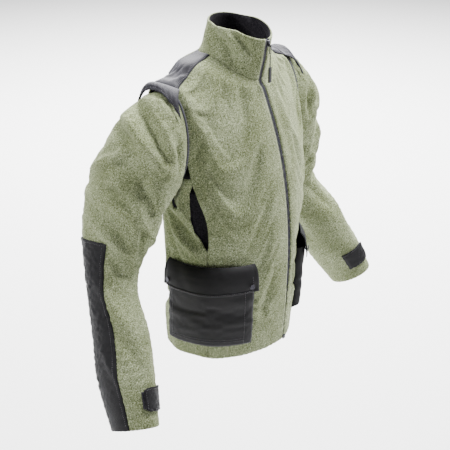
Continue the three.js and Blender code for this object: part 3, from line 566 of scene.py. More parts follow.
def joined(parts):
    """One list of points and faces from several."""
    points, faces, start = [], [], 0
    for verts, some in parts:
        points.append(verts)
        faces += [tuple(start + i for i in f) for f in some]
        start += len(verts)
    return np.concatenate(points), faces


def spaced(line, pitch):
    """Points at even steps along a line, and the direction there."""
    run = np.concatenate([[0], np.cumsum(np.linalg.norm(np.diff(line, axis=0), axis=1))])
    at = np.arange(pitch / 2, run[-1], pitch)
    points = np.stack([np.interp(at, run, line[:, k]) for k in range(3)], -1)
    index = np.clip(np.searchsorted(run, at) - 1, 0, len(line) - 2)
    ahead = (line[index + 1] - line[index])
    return points, ahead / np.linalg.norm(ahead, axis=1, keepdims=True), index


STITCH_PITCH = 4.4
STITCH_LENGTH = 3.2
STITCH_WIDTH = 0.55
STITCH_HEIGHT = 0.5


def stitches(line, normals, pitch=STITCH_PITCH, length=STITCH_LENGTH, width=STITCH_WIDTH,
             height=STITCH_HEIGHT):
    """A row of lockstitches along a line: each a small grain of thread."""
    points, ahead, index = spaced(line, pitch)
    up = normals[index]
    side = np.cross(ahead, up)
    half = ahead * length / 2
    verts = np.stack([points - half - up * 0.3, points + half - up * 0.3, points + side * width,
                      points - side * width, points + up * height, points - up * 0.4], 1)
    grain = [(0, 2, 4), (2, 1, 4), (1, 3, 4), (3, 0, 4), (2, 0, 5), (1, 2, 5), (3, 1, 5), (0, 3, 5)]
    faces = [tuple(6 * k + i for i in f) for k in range(len(points)) for f in grain]
    return verts.reshape(-1, 3), faces


def sewn(points, normal, where):
    """Stitches along one line of a grid, just proud of its face."""
    return stitches(points[where] + normal[where] * 0.2, normal[where])


def seam_line(cloth, route, off=0.35, count=90):
    """Points and normals on the cloth along a route of (angle, ring) points."""
    legs = np.array(route, float)
    at = np.linspace(0, len(legs) - 1, count)
    a = np.interp(at, np.arange(len(legs)), legs[:, 0])
    v = np.interp(at, np.arange(len(legs)), legs[:, 1])
    normals = cloth.normal(a, v)
    return cloth.point(a, v) + normals * off, normals


# ---- materials --------------------------------------------------------------------------------------
def colour(code):
    """Linear colour of an sRGB hex value."""
    parts = [int(code[i:i + 2], 16) / 255 for i in (0, 2, 4)]
    return tuple(c / 12.92 if c <= 0.04045 else ((c + 0.055) / 1.055) ** 2.4 for c in parts) + (1.0,)


def add(tree, kind, sockets=None, stops=None, **settings):
    """Add a node with its settings; each socket takes a value or a link."""
    made = tree.nodes.new(kind)
    for key, value in settings.items():
        setattr(made, key, value)
    for key, value in (sockets or {}).items():
        if isinstance(value, bpy.types.NodeSocket):
            tree.links.new(value, made.inputs[key])
        else:
            made.inputs[key].default_value = value
    for k, (position, code) in enumerate(stops or ()):
        points = made.color_ramp.elements
        point = points[k] if k < 2 else points.new(position)
        point.position = position
        point.color = colour(code)
    return made


def make_material(name, **values):
    """A new material, its node tree and its shader, with the shader's own values set."""
    made = bpy.data.materials.new(name)
    made.use_nodes = True
    tree = made.node_tree
    tree.nodes.clear()
    shader = add(tree, "ShaderNodeBsdfPrincipled",
                 {" ".join(word if word == "IOR" else word.capitalize() for word in key.split("_")): value
                  for key, value in values.items()})
    add(tree, "ShaderNodeOutputMaterial", {"Surface": shader.outputs[0]})
    return made, tree, shader


def per_metre(size_mm):
    return 1 / (size_mm * MM)


WAVE = math.pi / 10      # a wave texture's wavelength at scale 1
TUFT = 2.7               # clump of brushed fibres, coarser than the real 1 mm so that it shows
FLECK = 1.3              # single pale or dark fibres
NAP = 70.0               # patches where the pile lies another way
THREAD = 1.7             # nylon thread spacing, drawn at three times the real 0.55 mm to show
TAPE_RIB = 1.6


def heathered_fleece():
    """Brushed wool fleece: pale, olive and dark fibres blended before spinning, so it looks speckled
    and chalky, with soft bright edges where the pile catches the light."""
    made, tree, shader = make_material("heathered_wool_fleece", roughness=0.96, sheen_weight=0.32,
                                       sheen_roughness=0.45, sheen_tint=colour("cdd3b6"),
                                       specular_IOR_level=0.12)
    place = add(tree, "ShaderNodeTexCoord").outputs["Object"]
    tuft = add(tree, "ShaderNodeTexNoise", {"Vector": place, "Scale": per_metre(TUFT), "Detail": 4.0,
                                            "Roughness": 0.72}).outputs[0]
    fleck = add(tree, "ShaderNodeTexNoise", {"Vector": place, "Scale": per_metre(FLECK), "Detail": 2.0,
                                             "Roughness": 0.6}).outputs[0]
    nap = add(tree, "ShaderNodeTexNoise",
              {"Vector": place, "Scale": per_metre(NAP), "Detail": 3.0}).outputs[0]
    blend = add(tree, "ShaderNodeValToRGB", {"Fac": tuft},
                stops=[(0.34, "50573a"), (0.46, "8a9370"), (0.55, "adb690"), (0.66, "dde4c8")])
    fibre = add(tree, "ShaderNodeValToRGB", {"Fac": fleck}, stops=[(0.36, "b4b4ac"), (0.62, "ffffff")])
    lay = add(tree, "ShaderNodeValToRGB", {"Fac": nap}, stops=[(0.34, "dfe0d6"), (0.64, "ffffff")])
    first = add(tree, "ShaderNodeMix", {0: 1.0, 6: blend.outputs[0], 7: fibre.outputs[0]},
                data_type="RGBA", blend_type="MULTIPLY")
    second = add(tree, "ShaderNodeMix", {0: 1.0, 6: first.outputs[2], 7: lay.outputs[0]},
                 data_type="RGBA", blend_type="MULTIPLY")
    tree.links.new(second.outputs[2], shader.inputs["Base Color"])
    pile = add(tree, "ShaderNodeMath", {0: tuft, 1: fleck}, operation="ADD")
    bump = add(tree, "ShaderNodeBump", {"Height": pile.outputs[0], "Strength": 0.55, "Distance": 0.0011})
    tree.links.new(bump.outputs[0], shader.inputs["Normal"])
    return made


def woven_nylon(name, low, high, thread=THREAD, sheen=0.3, roughness=0.62):
    """Plain-woven textured nylon: over-and-under threads with a dull, faintly violet shine."""
    made, tree, shader = make_material(name, sheen_weight=sheen, sheen_roughness=0.35,
                                       sheen_tint=colour("a9a8c4"), specular_IOR_level=0.28)
    cut = add(tree, "ShaderNodeUVMap", uv_map="cut").outputs[0]
    place = add(tree, "ShaderNodeTexCoord").outputs["Object"]
    warp = add(tree, "ShaderNodeTexWave", {"Vector": cut, "Scale": WAVE * per_metre(thread)},
               bands_direction="X").outputs["Fac"]
    weft = add(tree, "ShaderNodeTexWave", {"Vector": cut, "Scale": WAVE * per_metre(thread)},
               bands_direction="Y").outputs["Fac"]
    over = add(tree, "ShaderNodeTexChecker", {"Vector": cut, "Scale": per_metre(thread)}).outputs["Fac"]
    weave = add(tree, "ShaderNodeMix", {0: over, 2: warp, 3: weft}).outputs[0]
    wear = add(tree, "ShaderNodeTexNoise", {"Vector": place, "Scale": per_metre(34), "Detail": 5.0,
                                            "Roughness": 0.65}).outputs[0]
    worn = add(tree, "ShaderNodeMath", {0: weave, 1: wear}, operation="MULTIPLY")
    tone = add(tree, "ShaderNodeValToRGB", {"Fac": worn.outputs[0]}, stops=[(0.05, low), (0.62, high)])
    tree.links.new(tone.outputs[0], shader.inputs["Base Color"])
    dull = add(tree, "ShaderNodeMapRange", {"Value": wear, 3: roughness - 0.1, 4: roughness + 0.14})
    tree.links.new(dull.outputs[0], shader.inputs["Roughness"])
    bump = add(tree, "ShaderNodeBump", {"Height": weave, "Strength": 0.4, "Distance": 0.0004})
    tree.links.new(bump.outputs[0], shader.inputs["Normal"])
    return made


def black_fleece():
    """The knitted black face bonded to the fleece: matt, slightly pilled, almost no shine."""
    made, tree, shader = make_material("black_bonded_fleece", roughness=0.97, sheen_weight=0.25,
                                       sheen_roughness=0.5, sheen_tint=colour("6c6a70"),
                                       specular_IOR_level=0.1)
    place = add(tree, "ShaderNodeTexCoord").outputs["Object"]
    pile = add(tree, "ShaderNodeTexNoise", {"Vector": place, "Scale": per_metre(3), "Detail": 4.0}).outputs[0]
    tone = add(tree, "ShaderNodeValToRGB", {"Fac": pile}, stops=[(0.35, "131216"), (0.65, "2b292d")])
    tree.links.new(tone.outputs[0], shader.inputs["Base Color"])
    bump = add(tree, "ShaderNodeBump", {"Height": pile, "Strength": 0.5, "Distance": 0.001})
    tree.links.new(bump.outputs[0], shader.inputs["Normal"])
    return made


def ribbed_tape():
    """Polyester zip tape: fine ribs along its length, dull and dark."""
    made, tree, shader = make_material("woven_polyester_tape", roughness=0.8, sheen_weight=0.2,
                                       sheen_roughness=0.4, specular_IOR_level=0.3)
    place = add(tree, "ShaderNodeTexCoord").outputs["Object"]
    rib = add(tree, "ShaderNodeTexWave", {"Vector": place, "Scale": WAVE * per_metre(TAPE_RIB)},
              bands_direction="DIAGONAL").outputs["Fac"]
    tone = add(tree, "ShaderNodeValToRGB", {"Fac": rib}, stops=[(0.1, "3a3a40"), (0.9, "5e5e66")])
    tree.links.new(tone.outputs[0], shader.inputs["Base Color"])
    bump = add(tree, "ShaderNodeBump", {"Height": rib, "Strength": 0.4, "Distance": 0.0003})
    tree.links.new(bump.outputs[0], shader.inputs["Normal"])
    return made


def speckled(name, low, high, size, **values):
    """A moulded or cast surface with a fine grain in its colour and its bump."""
    made, tree, shader = make_material(name, **values)
    place = add(tree, "ShaderNodeTexCoord").outputs["Object"]
    grain = add(tree, "ShaderNodeTexNoise",
                {"Vector": place, "Scale": per_metre(size), "Detail": 4.0}).outputs[0]
    tone = add(tree, "ShaderNodeValToRGB", {"Fac": grain}, stops=[(0.35, low), (0.65, high)])
    tree.links.new(tone.outputs[0], shader.inputs["Base Color"])
    bump = add(tree, "ShaderNodeBump", {"Height": grain, "Strength": 0.25, "Distance": 0.0003})
    tree.links.new(bump.outputs[0], shader.inputs["Normal"])
    return made


FLEECE = heathered_fleece()
LINING = black_fleece()
# The yoke and shoulder flaps are the same black nylon as the other trims. This copy has lighter colours,
# which is painted light for where the light falls on the shoulders' upward faces; TRIM_NYLON below is the
# darker copy.
YOKE_NYLON_PAINTED_LIGHTER = woven_nylon("textured_nylon_yoke_painted_lighter", "17161b", "33313c", sheen=0.14, roughness=0.55)
TRIM_NYLON = woven_nylon("textured_nylon", "070608", "17161b", sheen=0.04)
TAPE = ribbed_tape()
# Nylon coil: extruded thread, smooth enough for a small soft highlight on each turn.
COIL = speckled("nylon_coil", "202024", "3a3a40", 4, roughness=0.42, specular_IOR_level=0.5)
# Blackened zinc casting: a dark grey metal, satin where it is handled.
GUNMETAL = speckled("blackened_zinc", "2b2a2f", "4e4d54", 2.4, roughness=0.36, metallic=1.0)
# Moulded soft PVC: black, even and slightly waxy.
MOULDED = speckled("moulded_soft_pvc", "17171a", "2a2a2e", 1.2, roughness=0.5, specular_IOR_level=0.4)
# Hook tape: stiff nylon hooks that read as a coarse black grain.
HOOKS = speckled("nylon_hook_tape", "17161a", "3c3a42", 1.6, roughness=0.6, specular_IOR_level=0.4)
# Polyester thread: olive on the fleece, charcoal on the nylon, with a slight silk shine.
OLIVE_THREAD = speckled("olive_polyester_thread", "5f6547", "848a66", 2, roughness=0.6, sheen_weight=0.3)
GREY_THREAD = speckled("charcoal_polyester_thread", "343239", "56545f", 2, roughness=0.6, sheen_weight=0.3)

# ---- the body ------------------------------------------------------------------------------------------
body = make_body()
ALL_THREAD = {"olive": [], "charcoal": []}


def beside(cloth, a, v, millimetres):
    """The angle that lies so many millimetres further round."""
    a = np.asarray(a, float)
    per_degree = np.linalg.norm(cloth.form(a + 0.5, v) - cloth.form(a - 0.5, v), axis=-1)
    return a + millimetres / per_degree


def ring_row(cloth, angle_of, v0, v1, across, thread, off=0.3):
    """Stitch along the rings beside a seam whose angle is a function of the ring."""
    v = np.linspace(v0, v1, 140)
    a = beside(cloth, angle_of(v), v, across)
    normals = cloth.normal(a, v)
    thread.append(stitches(cloth.point(a, v) + normals * off, normals))


def angle_row(cloth, v, a0, a1, thread, off=0.3):
    """Stitch round the cloth at one ring."""
    a = np.linspace(a0, a1, 240)
    at = np.full(a.shape, float(v))
    normals = cloth.normal(a, at)
    thread.append(stitches(cloth.point(a, at) + normals * off, normals))


def sew(name, parts, material, body_name):
    verts, faces = joined(parts)
    piece = make_object(name, verts, faces, [material])
    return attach(piece, body_name)


def trim_at_armhole(piece):
    """Cut a body panel off square at each armhole."""
    mesh = bmesh.new()
    mesh.from_mesh(piece.data)
    for sign in (-1, 1):
        everything = mesh.verts[:] + mesh.edges[:] + mesh.faces[:]
        made = bmesh.ops.bisect_plane(mesh, geom=everything, dist=1e-6, clear_outer=True,
                                      plane_co=(sign * (ARMHOLE_X + 2) * MM, 0, 0), plane_no=(sign, 0, 0))
        cut = [e for e in made["geom_cut"] if isinstance(e, bmesh.types.BMEdge)]
        if cut:
            bmesh.ops.holes_fill(mesh, edges=cut, sides=0)
    mesh.to_mesh(piece.data)
    mesh.free()


def pocket_gape(v, before):
    """Degrees that the hand pocket's edge stands back from the seam, before or behind it."""
    t = np.clip((v - HAND_POCKET_LOW) / (HAND_POCKET_HIGH - HAND_POCKET_LOW), 0, 1)
    return (3.4 if before else 8.4) * np.sin(np.pi * t ** 0.9) ** 1.1


def yoke_front(v):
    """The front seam leans forward beside the hand pocket, and back again along the yoke."""
    v = np.asarray(v, float)
    return (mix(FRONT_SEAM, YOKE_FRONT_AT_NECK, np.clip((v - YOKE_FOOT) / (NECK - YOKE_FOOT), 0, 1))
            - 4 * smooth(3.9, 2.5, v))


def yoke_back(v):
    return mix(BACK_SEAM, YOKE_BACK_AT_NECK, np.clip((v - YOKE_FOOT) / (NECK - YOKE_FOOT), 0, 1))


def zip_gap(v):
    """The front edges close over the teeth near the hem."""
    return mix(1.2, ZIP_OPENING, smooth(0.7, 1.7, np.asarray(v)))


def fleece_panel(name, a, v, node, lips=0.0, sink=0.0):
    """A body panel: turned under at its seams, lifted or sunk beside the hand pocket."""
    base = body.form(a, v)
    left, right, foot, top = edge_distances(base)
    near_pocket = smooth(HAND_POCKET_LOW, 2.8, v) * smooth(HAND_POCKET_HIGH, 3.5, v)
    edge = rolled((left, right, top)) + 0.5 * np.exp(-((foot - (HEM_TURN - 2)) / 9) ** 2) * (foot > 2)
    edge = edge - 0.8 * np.exp(-((foot - HEM_TURN) / 1.6) ** 2)
    edge = edge + lips * near_pocket * np.exp(-(right / 12) ** 2)
    edge = edge - sink * near_pocket * np.exp(-(left / 26) ** 2)
    normal = body.normal(a, v)
    point = body.point(a, v)
    outer = point + normal * edge[..., None]
    tuck = np.exp(-(np.minimum(np.minimum(left, right), np.minimum(foot, top)) / 1.2) ** 2)
    inner = point + normal * (edge - CLOTH + 0.9 * tuck)[..., None]
    piece = shell(name, outer, inner, [FLEECE, LINING])
    trim_at_armhole(piece)
    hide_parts(node)
    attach(piece, "root")
    flat, area = flat_size(base, within=ARMHOLE_X + 2)


SEAM_ANGLE = 0.05
for side, turn, x in SIDES:
    gap = lambda v, turn=turn: angle_from_zip(zip_gap(v), v, turn)
    back_edge = lambda v, turn=turn: turn * (yoke_front(v) - SEAM_ANGLE - pocket_gape(v, True))
    a, v = panel_grid(body_form, gap, back_edge, 0.0, NECK - 0.004)
    fleece_panel(f"fleece_front_{side}", a, v, f"front_panel_{side}", lips=4.0)
    rear_edge = lambda v, turn=turn: turn * (yoke_front(v) + SEAM_ANGLE + pocket_gape(v, False))
    a, v = panel_grid(body_form, rear_edge, turn * (BACK_SEAM - SEAM_ANGLE), 0.0, SIDE_TOP - 0.004)
    fleece_panel(f"fleece_side_{side}", a, v, f"side_panel_{side}", sink=8.0)
    olive = ALL_THREAD["olive"]
    ring_row(body, gap, 0.1, NECK - 0.1, turn * 8, olive)
    ring_row(body, back_edge, 0.06, 2.4, -turn * 4, olive)
    ring_row(body, back_edge, HAND_POCKET_LOW, 3.9, -turn * 5, olive, off=2.6)
    ring_row(body, back_edge, 3.94, YOKE_FOOT - 0.05, -turn * 4, olive)
    ring_row(body, rear_edge, 0.06, 2.4, turn * 4, olive)
    for across in (4, 7):
        ring_row(body, lambda v, turn=turn: turn * BACK_SEAM, 0.06, SIDE_TOP, turn * across, olive)
    for shift in (0, 2.2):
        line = [(turn * (62 - shift), 5.95), (turn * (60.5 - shift), 5.5), (turn * (61 - shift), 5.1),
                (turn * (63.5 - shift), 4.8), (turn * (66 - shift), 4.62)]
        olive.append(stitches(*seam_line(body, line)))
    olive.append(stitches(*seam_line(body, [(turn * 10, NECK - 0.06), (turn * 84, NECK - 0.06)])))

a, v = panel_grid(body_form, lambda v: yoke_back(v) + SEAM_ANGLE, lambda v: 360 - yoke_back(v) - SEAM_ANGLE,
                  0.0, NECK - 0.004)
fleece_panel("fleece_back", a, v, "back_panel")
angle_row(body, 0.19, 3, 357, ALL_THREAD["olive"], off=-0.3)

# ---- shoulders -------------------------------------------------------------------------------------------
YOKE_OFF = 0.7


def trim_sheet(name, outer, normal, thickness, material, node, body_name, form_grid,
               backing=None, within=1e9):
    """A piece of woven trim with thickness; its cut size is worked out but not used."""
    piece = shell(name, outer, outer - normal * np.asarray(thickness)[..., None],
                  [material] + ([backing] if backing else []))
    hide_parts(node)
    if body_name:
        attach(piece, body_name)
    flat, area = flat_size(form_grid, within)
    min(area, flat[0] * flat[1])
    return piece


def make_yoke(side, turn):
    a, v = panel_grid(body_form, lambda v: turn * (yoke_front(v) - 0.6),
                      lambda v: turn * (yoke_back(v) + 0.6), YOKE_FOOT - 0.02, NECK - 0.004, step=4.0)
    base = body.form(a, v)
    edge = YOKE_OFF + rolled(edge_distances(base)[:2], depth=0.9, reach=1.8)
    normal = body.normal(a, v)
    outer = body.point(a, v) + normal * edge[..., None]
    piece = trim_sheet(f"yoke_{side}", outer, normal, np.full(a.shape, WEBBING), YOKE_NYLON_PAINTED_LIGHTER,
                       f"shoulder_yoke_{side}", None, base,
                       within=ARMHOLE_X + 2)
    trim_at_armhole(piece)
    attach(piece, "root")
    grey = ALL_THREAD["charcoal"]
    for across in (3, 6):
        ring_row(body, lambda v: turn * yoke_front(v), YOKE_FOOT, NECK - 0.1, turn * across, grey, off=1.0)
        ring_row(body, lambda v: turn * yoke_back(v), YOKE_FOOT, NECK - 0.1, -turn * across, grey, off=1.0)


def flap_surface(cloth, turn):
    """The band that runs off the yoke and hangs over the top of the sleeve."""
    def form(a, s):
        along = (turn * a - FRONT_SEAM) / (BACK_SEAM - FRONT_SEAM)
        start_ring = np.full(np.shape(a), 6.15)
        start = body.off(a, start_ring, np.full(np.shape(a), 2.2))
        t = mix(33.0, 147.0, along)
        end = cloth.off(t, np.full(np.shape(t), 0.6), np.full(np.shape(t), 7.0))
        bow = 12.0 * np.sin(np.pi * s) + 1.2 * np.sin(9 * along + 2 * s) * s
        lift = np.array([-turn * 0.55, 0.0, 0.83])
        return mix(start, end, s[..., None]) + bow[..., None] * lift
    return form


def make_shoulder_flap(side, turn, cloth):
    form = flap_surface(cloth, turn)
    s, a = np.meshgrid(np.linspace(0, 1, 15), turn * np.linspace(FRONT_SEAM - 0.5, BACK_SEAM + 0.5, 49),
                       indexing="ij")
    outer = form(a, s)
    along_s, along_a = np.gradient(outer, axis=0), np.gradient(outer, axis=1)
    normal = np.cross(along_a, along_s) * turn
    normal /= np.linalg.norm(normal, axis=-1, keepdims=True)
    if (normal[..., 2].mean()) < 0:
        normal = -normal
    down = lengths(outer, 0)
    edge = 0.9 * smooth(5.5, 3.5, down[-1:] - down) - 0.6 * np.exp(-((down[-1:] - down - 6) / 1.2) ** 2)
    band = -0.7 * np.exp(-((down - 3) / 1.4) ** 2)
    outer = outer + normal * (edge + band)[..., None]
    trim_sheet(f"shoulder_flap_cloth_{side}", outer, normal, np.full(a.shape, WEBBING), YOKE_NYLON_PAINTED_LIGHTER,
               f"shoulder_flap_{side}", "root", outer, LINING)
    grey = ALL_THREAD["charcoal"]
    for row in (3, 5, 12):
        grey.append(stitches(outer[row] + normal[row] * 0.25, normal[row]))


# ---- collar ------------------------------------------------------------------------------------------------
def make_collar():
    a0, a1 = (lambda v: angle_from_zip(zip_gap(v), v, 1)), (lambda v: 360 + angle_from_zip(zip_gap(v), v, -1))
    a, v = panel_grid(body_form, a0, a1, NECK + 0.004, COLLAR_TOP, step=3.6)
    base = body.form(a, v)
    left, right, foot, top = edge_distances(base)
    normal = body.normal(a, v)
    edge = rolled((left, right, foot)) + 0.7 * smooth(7, 5, top) - 0.7 * np.exp(-((top - 8) / 1.2) ** 2)
    edge = edge - 1.6 * np.exp(-(top / 1.6) ** 2)
    outer = body.point(a, v) + normal * edge[..., None]
    piece = shell("collar_fleece", outer, outer - normal * CLOTH, [FLEECE, LINING])
    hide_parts("collar_shell")
    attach(piece, "root")
    declare(body_form, a, v)
    angle_row(body, COLLAR_TOP - 0.26, 8, 352, ALL_THREAD["olive"], off=0.2)
    angle_row(body, NECK + 0.1, 8, 352, ALL_THREAD["olive"], off=0.1)
    a, v = panel_grid(body_form, a0, a1, NECK + 0.004, COLLAR_TOP - 0.03, step=4.2)
    normal = body.normal(a, v)
    top = edge_distances(body.form(a, v))[3]
    depth = CLOTH + 0.5 + 0.4 * ripple(body.form(a, v), 60, 4)
    outer = body.point(a, v) - normal * (depth - 1.4 * np.exp(-(top / 3) ** 2))[..., None]
    piece = shell("collar_inner_fleece", outer, outer - normal * (CLOTH - 0.4), [LINING])
    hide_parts("collar_lining")
    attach(piece, "root")
    declare(body_form, a, v)


# ---- sleeves ----------------------------------------------------------------------------------
SLEEVE_COLUMNS = 112
SPLIT = 4.0                 # station where the two parts of a sleeve meet
SHOULDER_TURN = 85.0        # length out from the shoulder along the arm
PATCH_TOP = 4.45            # station where the reinforcement starts, just above the elbow
ELBOW_TURN = 50.0           # length above and below the elbow


def in_frame(point):
    return tuple(((np.asarray(point, float) - LOOP) * MM).tolist())


def bend_at_shoulder(piece, x):
    start = np.array([x * SLEEVE_X, 15, ARMHOLE_Z - 110])
    outward = np.array([x * math.sqrt(0.5), 0, -math.sqrt(0.5)])
    in_frame(start)
    in_frame(start + outward * SHOULDER_TURN)
    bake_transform(piece)


def elbow_line(form):
    middle = (form(0, ELBOW) + form(180, ELBOW)) / 2
    outward = form(90, ELBOW) - form(270, ELBOW)
    outward /= np.linalg.norm(outward)
    up = (form(0, ELBOW - 1) + form(180, ELBOW - 1)) / 2 - middle
    up -= outward * (up @ outward)
    return middle, up / np.linalg.norm(up)


def bend_at_elbow(piece, form):
    middle, up = elbow_line(form)
    in_frame(middle + up * ELBOW_TURN)
    in_frame(middle - up * ELBOW_TURN)
    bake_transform(piece)


def sleeve_tube(name, cloth, u0, u1, hem):
    columns, rows = SLEEVE_COLUMNS, round(190 * (u1 - u0) / CUFF)
    t = np.arange(columns)[None, :] * 360 / columns * np.ones((rows, 1))
    share = np.linspace(0, 1, rows)[:, None] * np.ones((1, columns))
    u = mix(u0, u1, share)
    base = cloth.form(t, u)
    left_to_cuff = lengths(base, 0)[-1:] - lengths(base, 0)
    edge = -1.0 * np.exp(-(((t + 270) % 360 - 180) / 1.6) ** 2)
    if hem:
        edge = edge + 0.7 * smooth(CUFF_HEM, CUFF_HEM - 3, left_to_cuff)
        edge = edge - 0.8 * np.exp(-((left_to_cuff - (CUFF_HEM + 1)) / 1.6) ** 2)
        edge = edge - 1.2 * np.exp(-(left_to_cuff / 1.6) ** 2)
    normal = cloth.normal(t, u)
    outer = cloth.point(t, u) + normal * edge[..., None]
    return shell(name, outer, outer - normal * CLOTH, [FLEECE, LINING], closed=True), base


def match_normals(piece, cloth):
    """Give the two parts of a sleeve the same shading where they meet."""
    data = piece.data
    points, normals = np.zeros(len(data.vertices) * 3), np.zeros(len(data.vertices) * 3)
    data.vertices.foreach_get("co", points)
    data.vertices.foreach_get("normal", normals)
    points, normals = points.reshape(-1, 3) / MM + LOOP, normals.reshape(-1, 3)
    half = len(points) // 2
    meeting = cloth.point(0.0, SPLIT)
    t = np.arange(SLEEVE_COLUMNS) * 360 / SLEEVE_COLUMNS
    facing = cloth.normal(t, np.full(t.shape, SPLIT))
    for layer, sign in ((0, 1), (1, -1)):
        for first in (layer * half, (layer + 1) * half - SLEEVE_COLUMNS):
            if np.linalg.norm(points[first] - meeting) < 8:
                normals[first:first + SLEEVE_COLUMNS] = facing * sign
    data.normals_split_custom_set_from_vertices(normals.tolist())


def make_sleeve_pieces(side, x):
    cloth = make_sleeve(x)
    form = cloth.form
    upper, base = sleeve_tube(f"sleeve_upper_{side}", cloth, 0.0, SPLIT, False)
    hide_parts(f"upper_sleeve_{side}", f"sleeve_head_{side}")
    lower, low_base = sleeve_tube(f"sleeve_lower_{side}", cloth, SPLIT, CUFF, True)
    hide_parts(f"lower_sleeve_{side}")
    for piece, grid in ((upper, base), (lower, low_base)):
        match_normals(piece, cloth)
        flat, area = flat_size(np.concatenate([grid, grid[:, :1]], 1))
        min(area, flat[0] * flat[1])
    bend_at_shoulder(upper, x)
    bend_at_elbow(lower, form)

    # The reinforcement down the back of the forearm lies on the sleeve and takes its folds.
    u = np.linspace(PATCH_TOP, CUFF - 0.01, 96)[:, None] * np.ones((1, 30))
    t = np.linspace(PATCH_FROM, PATCH_TO, 30)[None, :] * np.ones((96, 1))
    grid = form(t, u)
    left, right, top, foot = edge_distances(grid)
    edge = 1.9 + 0.5 * smooth(5, 3.5, np.minimum(np.minimum(left, right), top))
    edge = edge - 0.6 * np.exp(-((np.minimum(np.minimum(left, right), top) - 5.5) / 1.1) ** 2)
    edge = edge - 0.9 * np.exp(-((foot - 26) / 1.6) ** 2)
    edge = edge - 0.8 * np.exp(-(np.minimum(left, right) / 0.9) ** 2)
    normal = cloth.normal(t, u)
    outer = cloth.point(t, u) + normal * edge[..., None]
    patch = trim_sheet(f"forearm_nylon_{side}", outer, normal, np.full(t.shape, 1.6), TRIM_NYLON,
                       f"forearm_patch_{side}", None, grid)
    bend_at_elbow(patch, form)
    rows = [sewn(outer, normal, np.s_[3:-3, k]) for k in (2, 27)]
    rows.append(sewn(outer, normal, np.s_[2, 2:-2]))
    verts, faces = joined(rows)
    thread = make_object(f"forearm_stitching_{side}", verts, faces, [GREY_THREAD])
    bend_at_elbow(thread, form)

    # Cuff hem stitching.
    per_station = np.linalg.norm(form(0, CUFF) - form(0, CUFF - 0.1)) / 0.1
    ring = CUFF - (CUFF_HEM - 2) / per_station
    a = np.linspace(-150, 106, 200)
    normals = cloth.normal(a, np.full(200, ring))
    hem = stitches(cloth.point(a, np.full(200, ring)) + normals * 0.5, normals)
    sew(f"cuff_stitching_{side}", [hem], OLIVE_THREAD, f"forearm_{side}")
    make_cuff_tab(side, cloth)
    return cloth


def make_armhole_piping(side, x, cloth):
    """The zip that joins the sleeve runs round the armhole; its covered edge shows as a dark piping."""
    t = np.linspace(0, 357, 120)
    ring = cloth.point(t, np.zeros(120))
    ring[:, 0] = x * (ARMHOLE_X + 3.4)
    verts, faces = tube(ring, 3.0, sides=10, closed=True)
    piece = make_object(f"armhole_piping_{side}", verts, faces, [TAPE])
    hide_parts(f"armhole_zip_{side}")
    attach(piece, "root")


def make_cuff_tab(side, cloth):
    """A tab stitched down at the front of the cuff, closing on a patch of hook tape."""
    form = cloth.form
    wrist = np.linalg.norm(form(40, CUFF) - form(41, CUFF))
    rows = np.linalg.norm(form(40, CUFF) - form(40, CUFF - 1))
    tab_end = TAB_START + TAB_LENGTH / wrist
    foot = CUFF - TAB_FOOT
    top = foot - TAB_WIDTH / rows
    share = np.linspace(0, 1, 27)[:, None] * np.ones((1, 31))
    along = np.linspace(0, 1, 31)[None, :] * np.ones((27, 1))
    nose = 0.10 * smooth(0.78, 1.0, along) ** 2
    u = mix(top + nose * (foot - top), foot - nose * (foot - top), share)
    t = mix(TAB_START, tab_end, along)
    grid = form(t, u)
    left, right, up, down = edge_distances(grid)
    near = np.minimum(np.minimum(right, up), down)
    edge = 5.0 + 0.7 * smooth(4.5, 3, near) - 0.5 * np.exp(-((near - 5) / 1) ** 2)
    edge = edge - 0.8 * np.exp(-(near / 0.8) ** 2)
    edge = edge - 3.2 * smooth(9, 0, left) + 1.6 * along ** 3
    normal = cloth.normal(t, u)
    smooth_point = form(t, u) + 0.6 * (cloth.point(t, u) - form(t, u))
    outer = smooth_point + normal * edge[..., None]
    tab = trim_sheet(f"cuff_tab_nylon_{side}", outer, normal, np.full(t.shape, 1.9), TRIM_NYLON,
                     f"cuff_tab_{side}", None, grid)
    root = form(TAB_START, (top + foot) / 2)
    ahead = form(TAB_START + 10, (top + foot) / 2) - root
    ahead /= np.linalg.norm(ahead)
    in_frame(root)
    in_frame(root + ahead * 9)
    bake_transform(tab)
    lines = [sewn(outer, normal, np.s_[k, 8:-2]) for k in (2, 24)]
    lines.append(sewn(outer, normal, np.s_[3:-3, 28]))
    sew(f"cuff_tab_stitching_{side}", lines, GREY_THREAD, f"cuff_tab_{side}")

    share = np.linspace(0, 1, 13)[:, None] * np.ones((1, 13))
    along = np.linspace(0, 1, 13)[None, :] * np.ones((13, 1))
    u, t = mix(top + 0.06, foot - 0.06, share), mix(tab_end - 24, tab_end + 5, along)
    normal = cloth.normal(t, u)
    outer = cloth.point(t, u) + normal * 1.7
    patch = shell(f"hook_patch_{side}", outer, outer - normal * 1.5, [HOOKS])
    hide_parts(f"cuff_hook_patch_{side}")
    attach(patch, f"forearm_{side}")


for side, turn, x in SIDES:
    make_yoke(side, turn)
    sleeve_cloth = make_sleeve_pieces(side, x)
    make_shoulder_flap(side, turn, sleeve_cloth)
    make_armhole_piping(side, x, sleeve_cloth)
make_collar()

sew("collar_and_panel_stitching", ALL_THREAD["olive"], OLIVE_THREAD, "root")

# ---- cargo pockets -----------------------------------------------------------------------------------
POCKET_CORNER = 13.0        # radius of the pocket's soft walls
FLAP_OVERHANG = 1.2         # degrees that the flap is wider than its pocket, on each side
FLAP_PROFILE = np.array([[252, 3.2], [249.5, 8.5], [242, 15], [230, 20.5], [214, 23.9], [190, 24.8]])


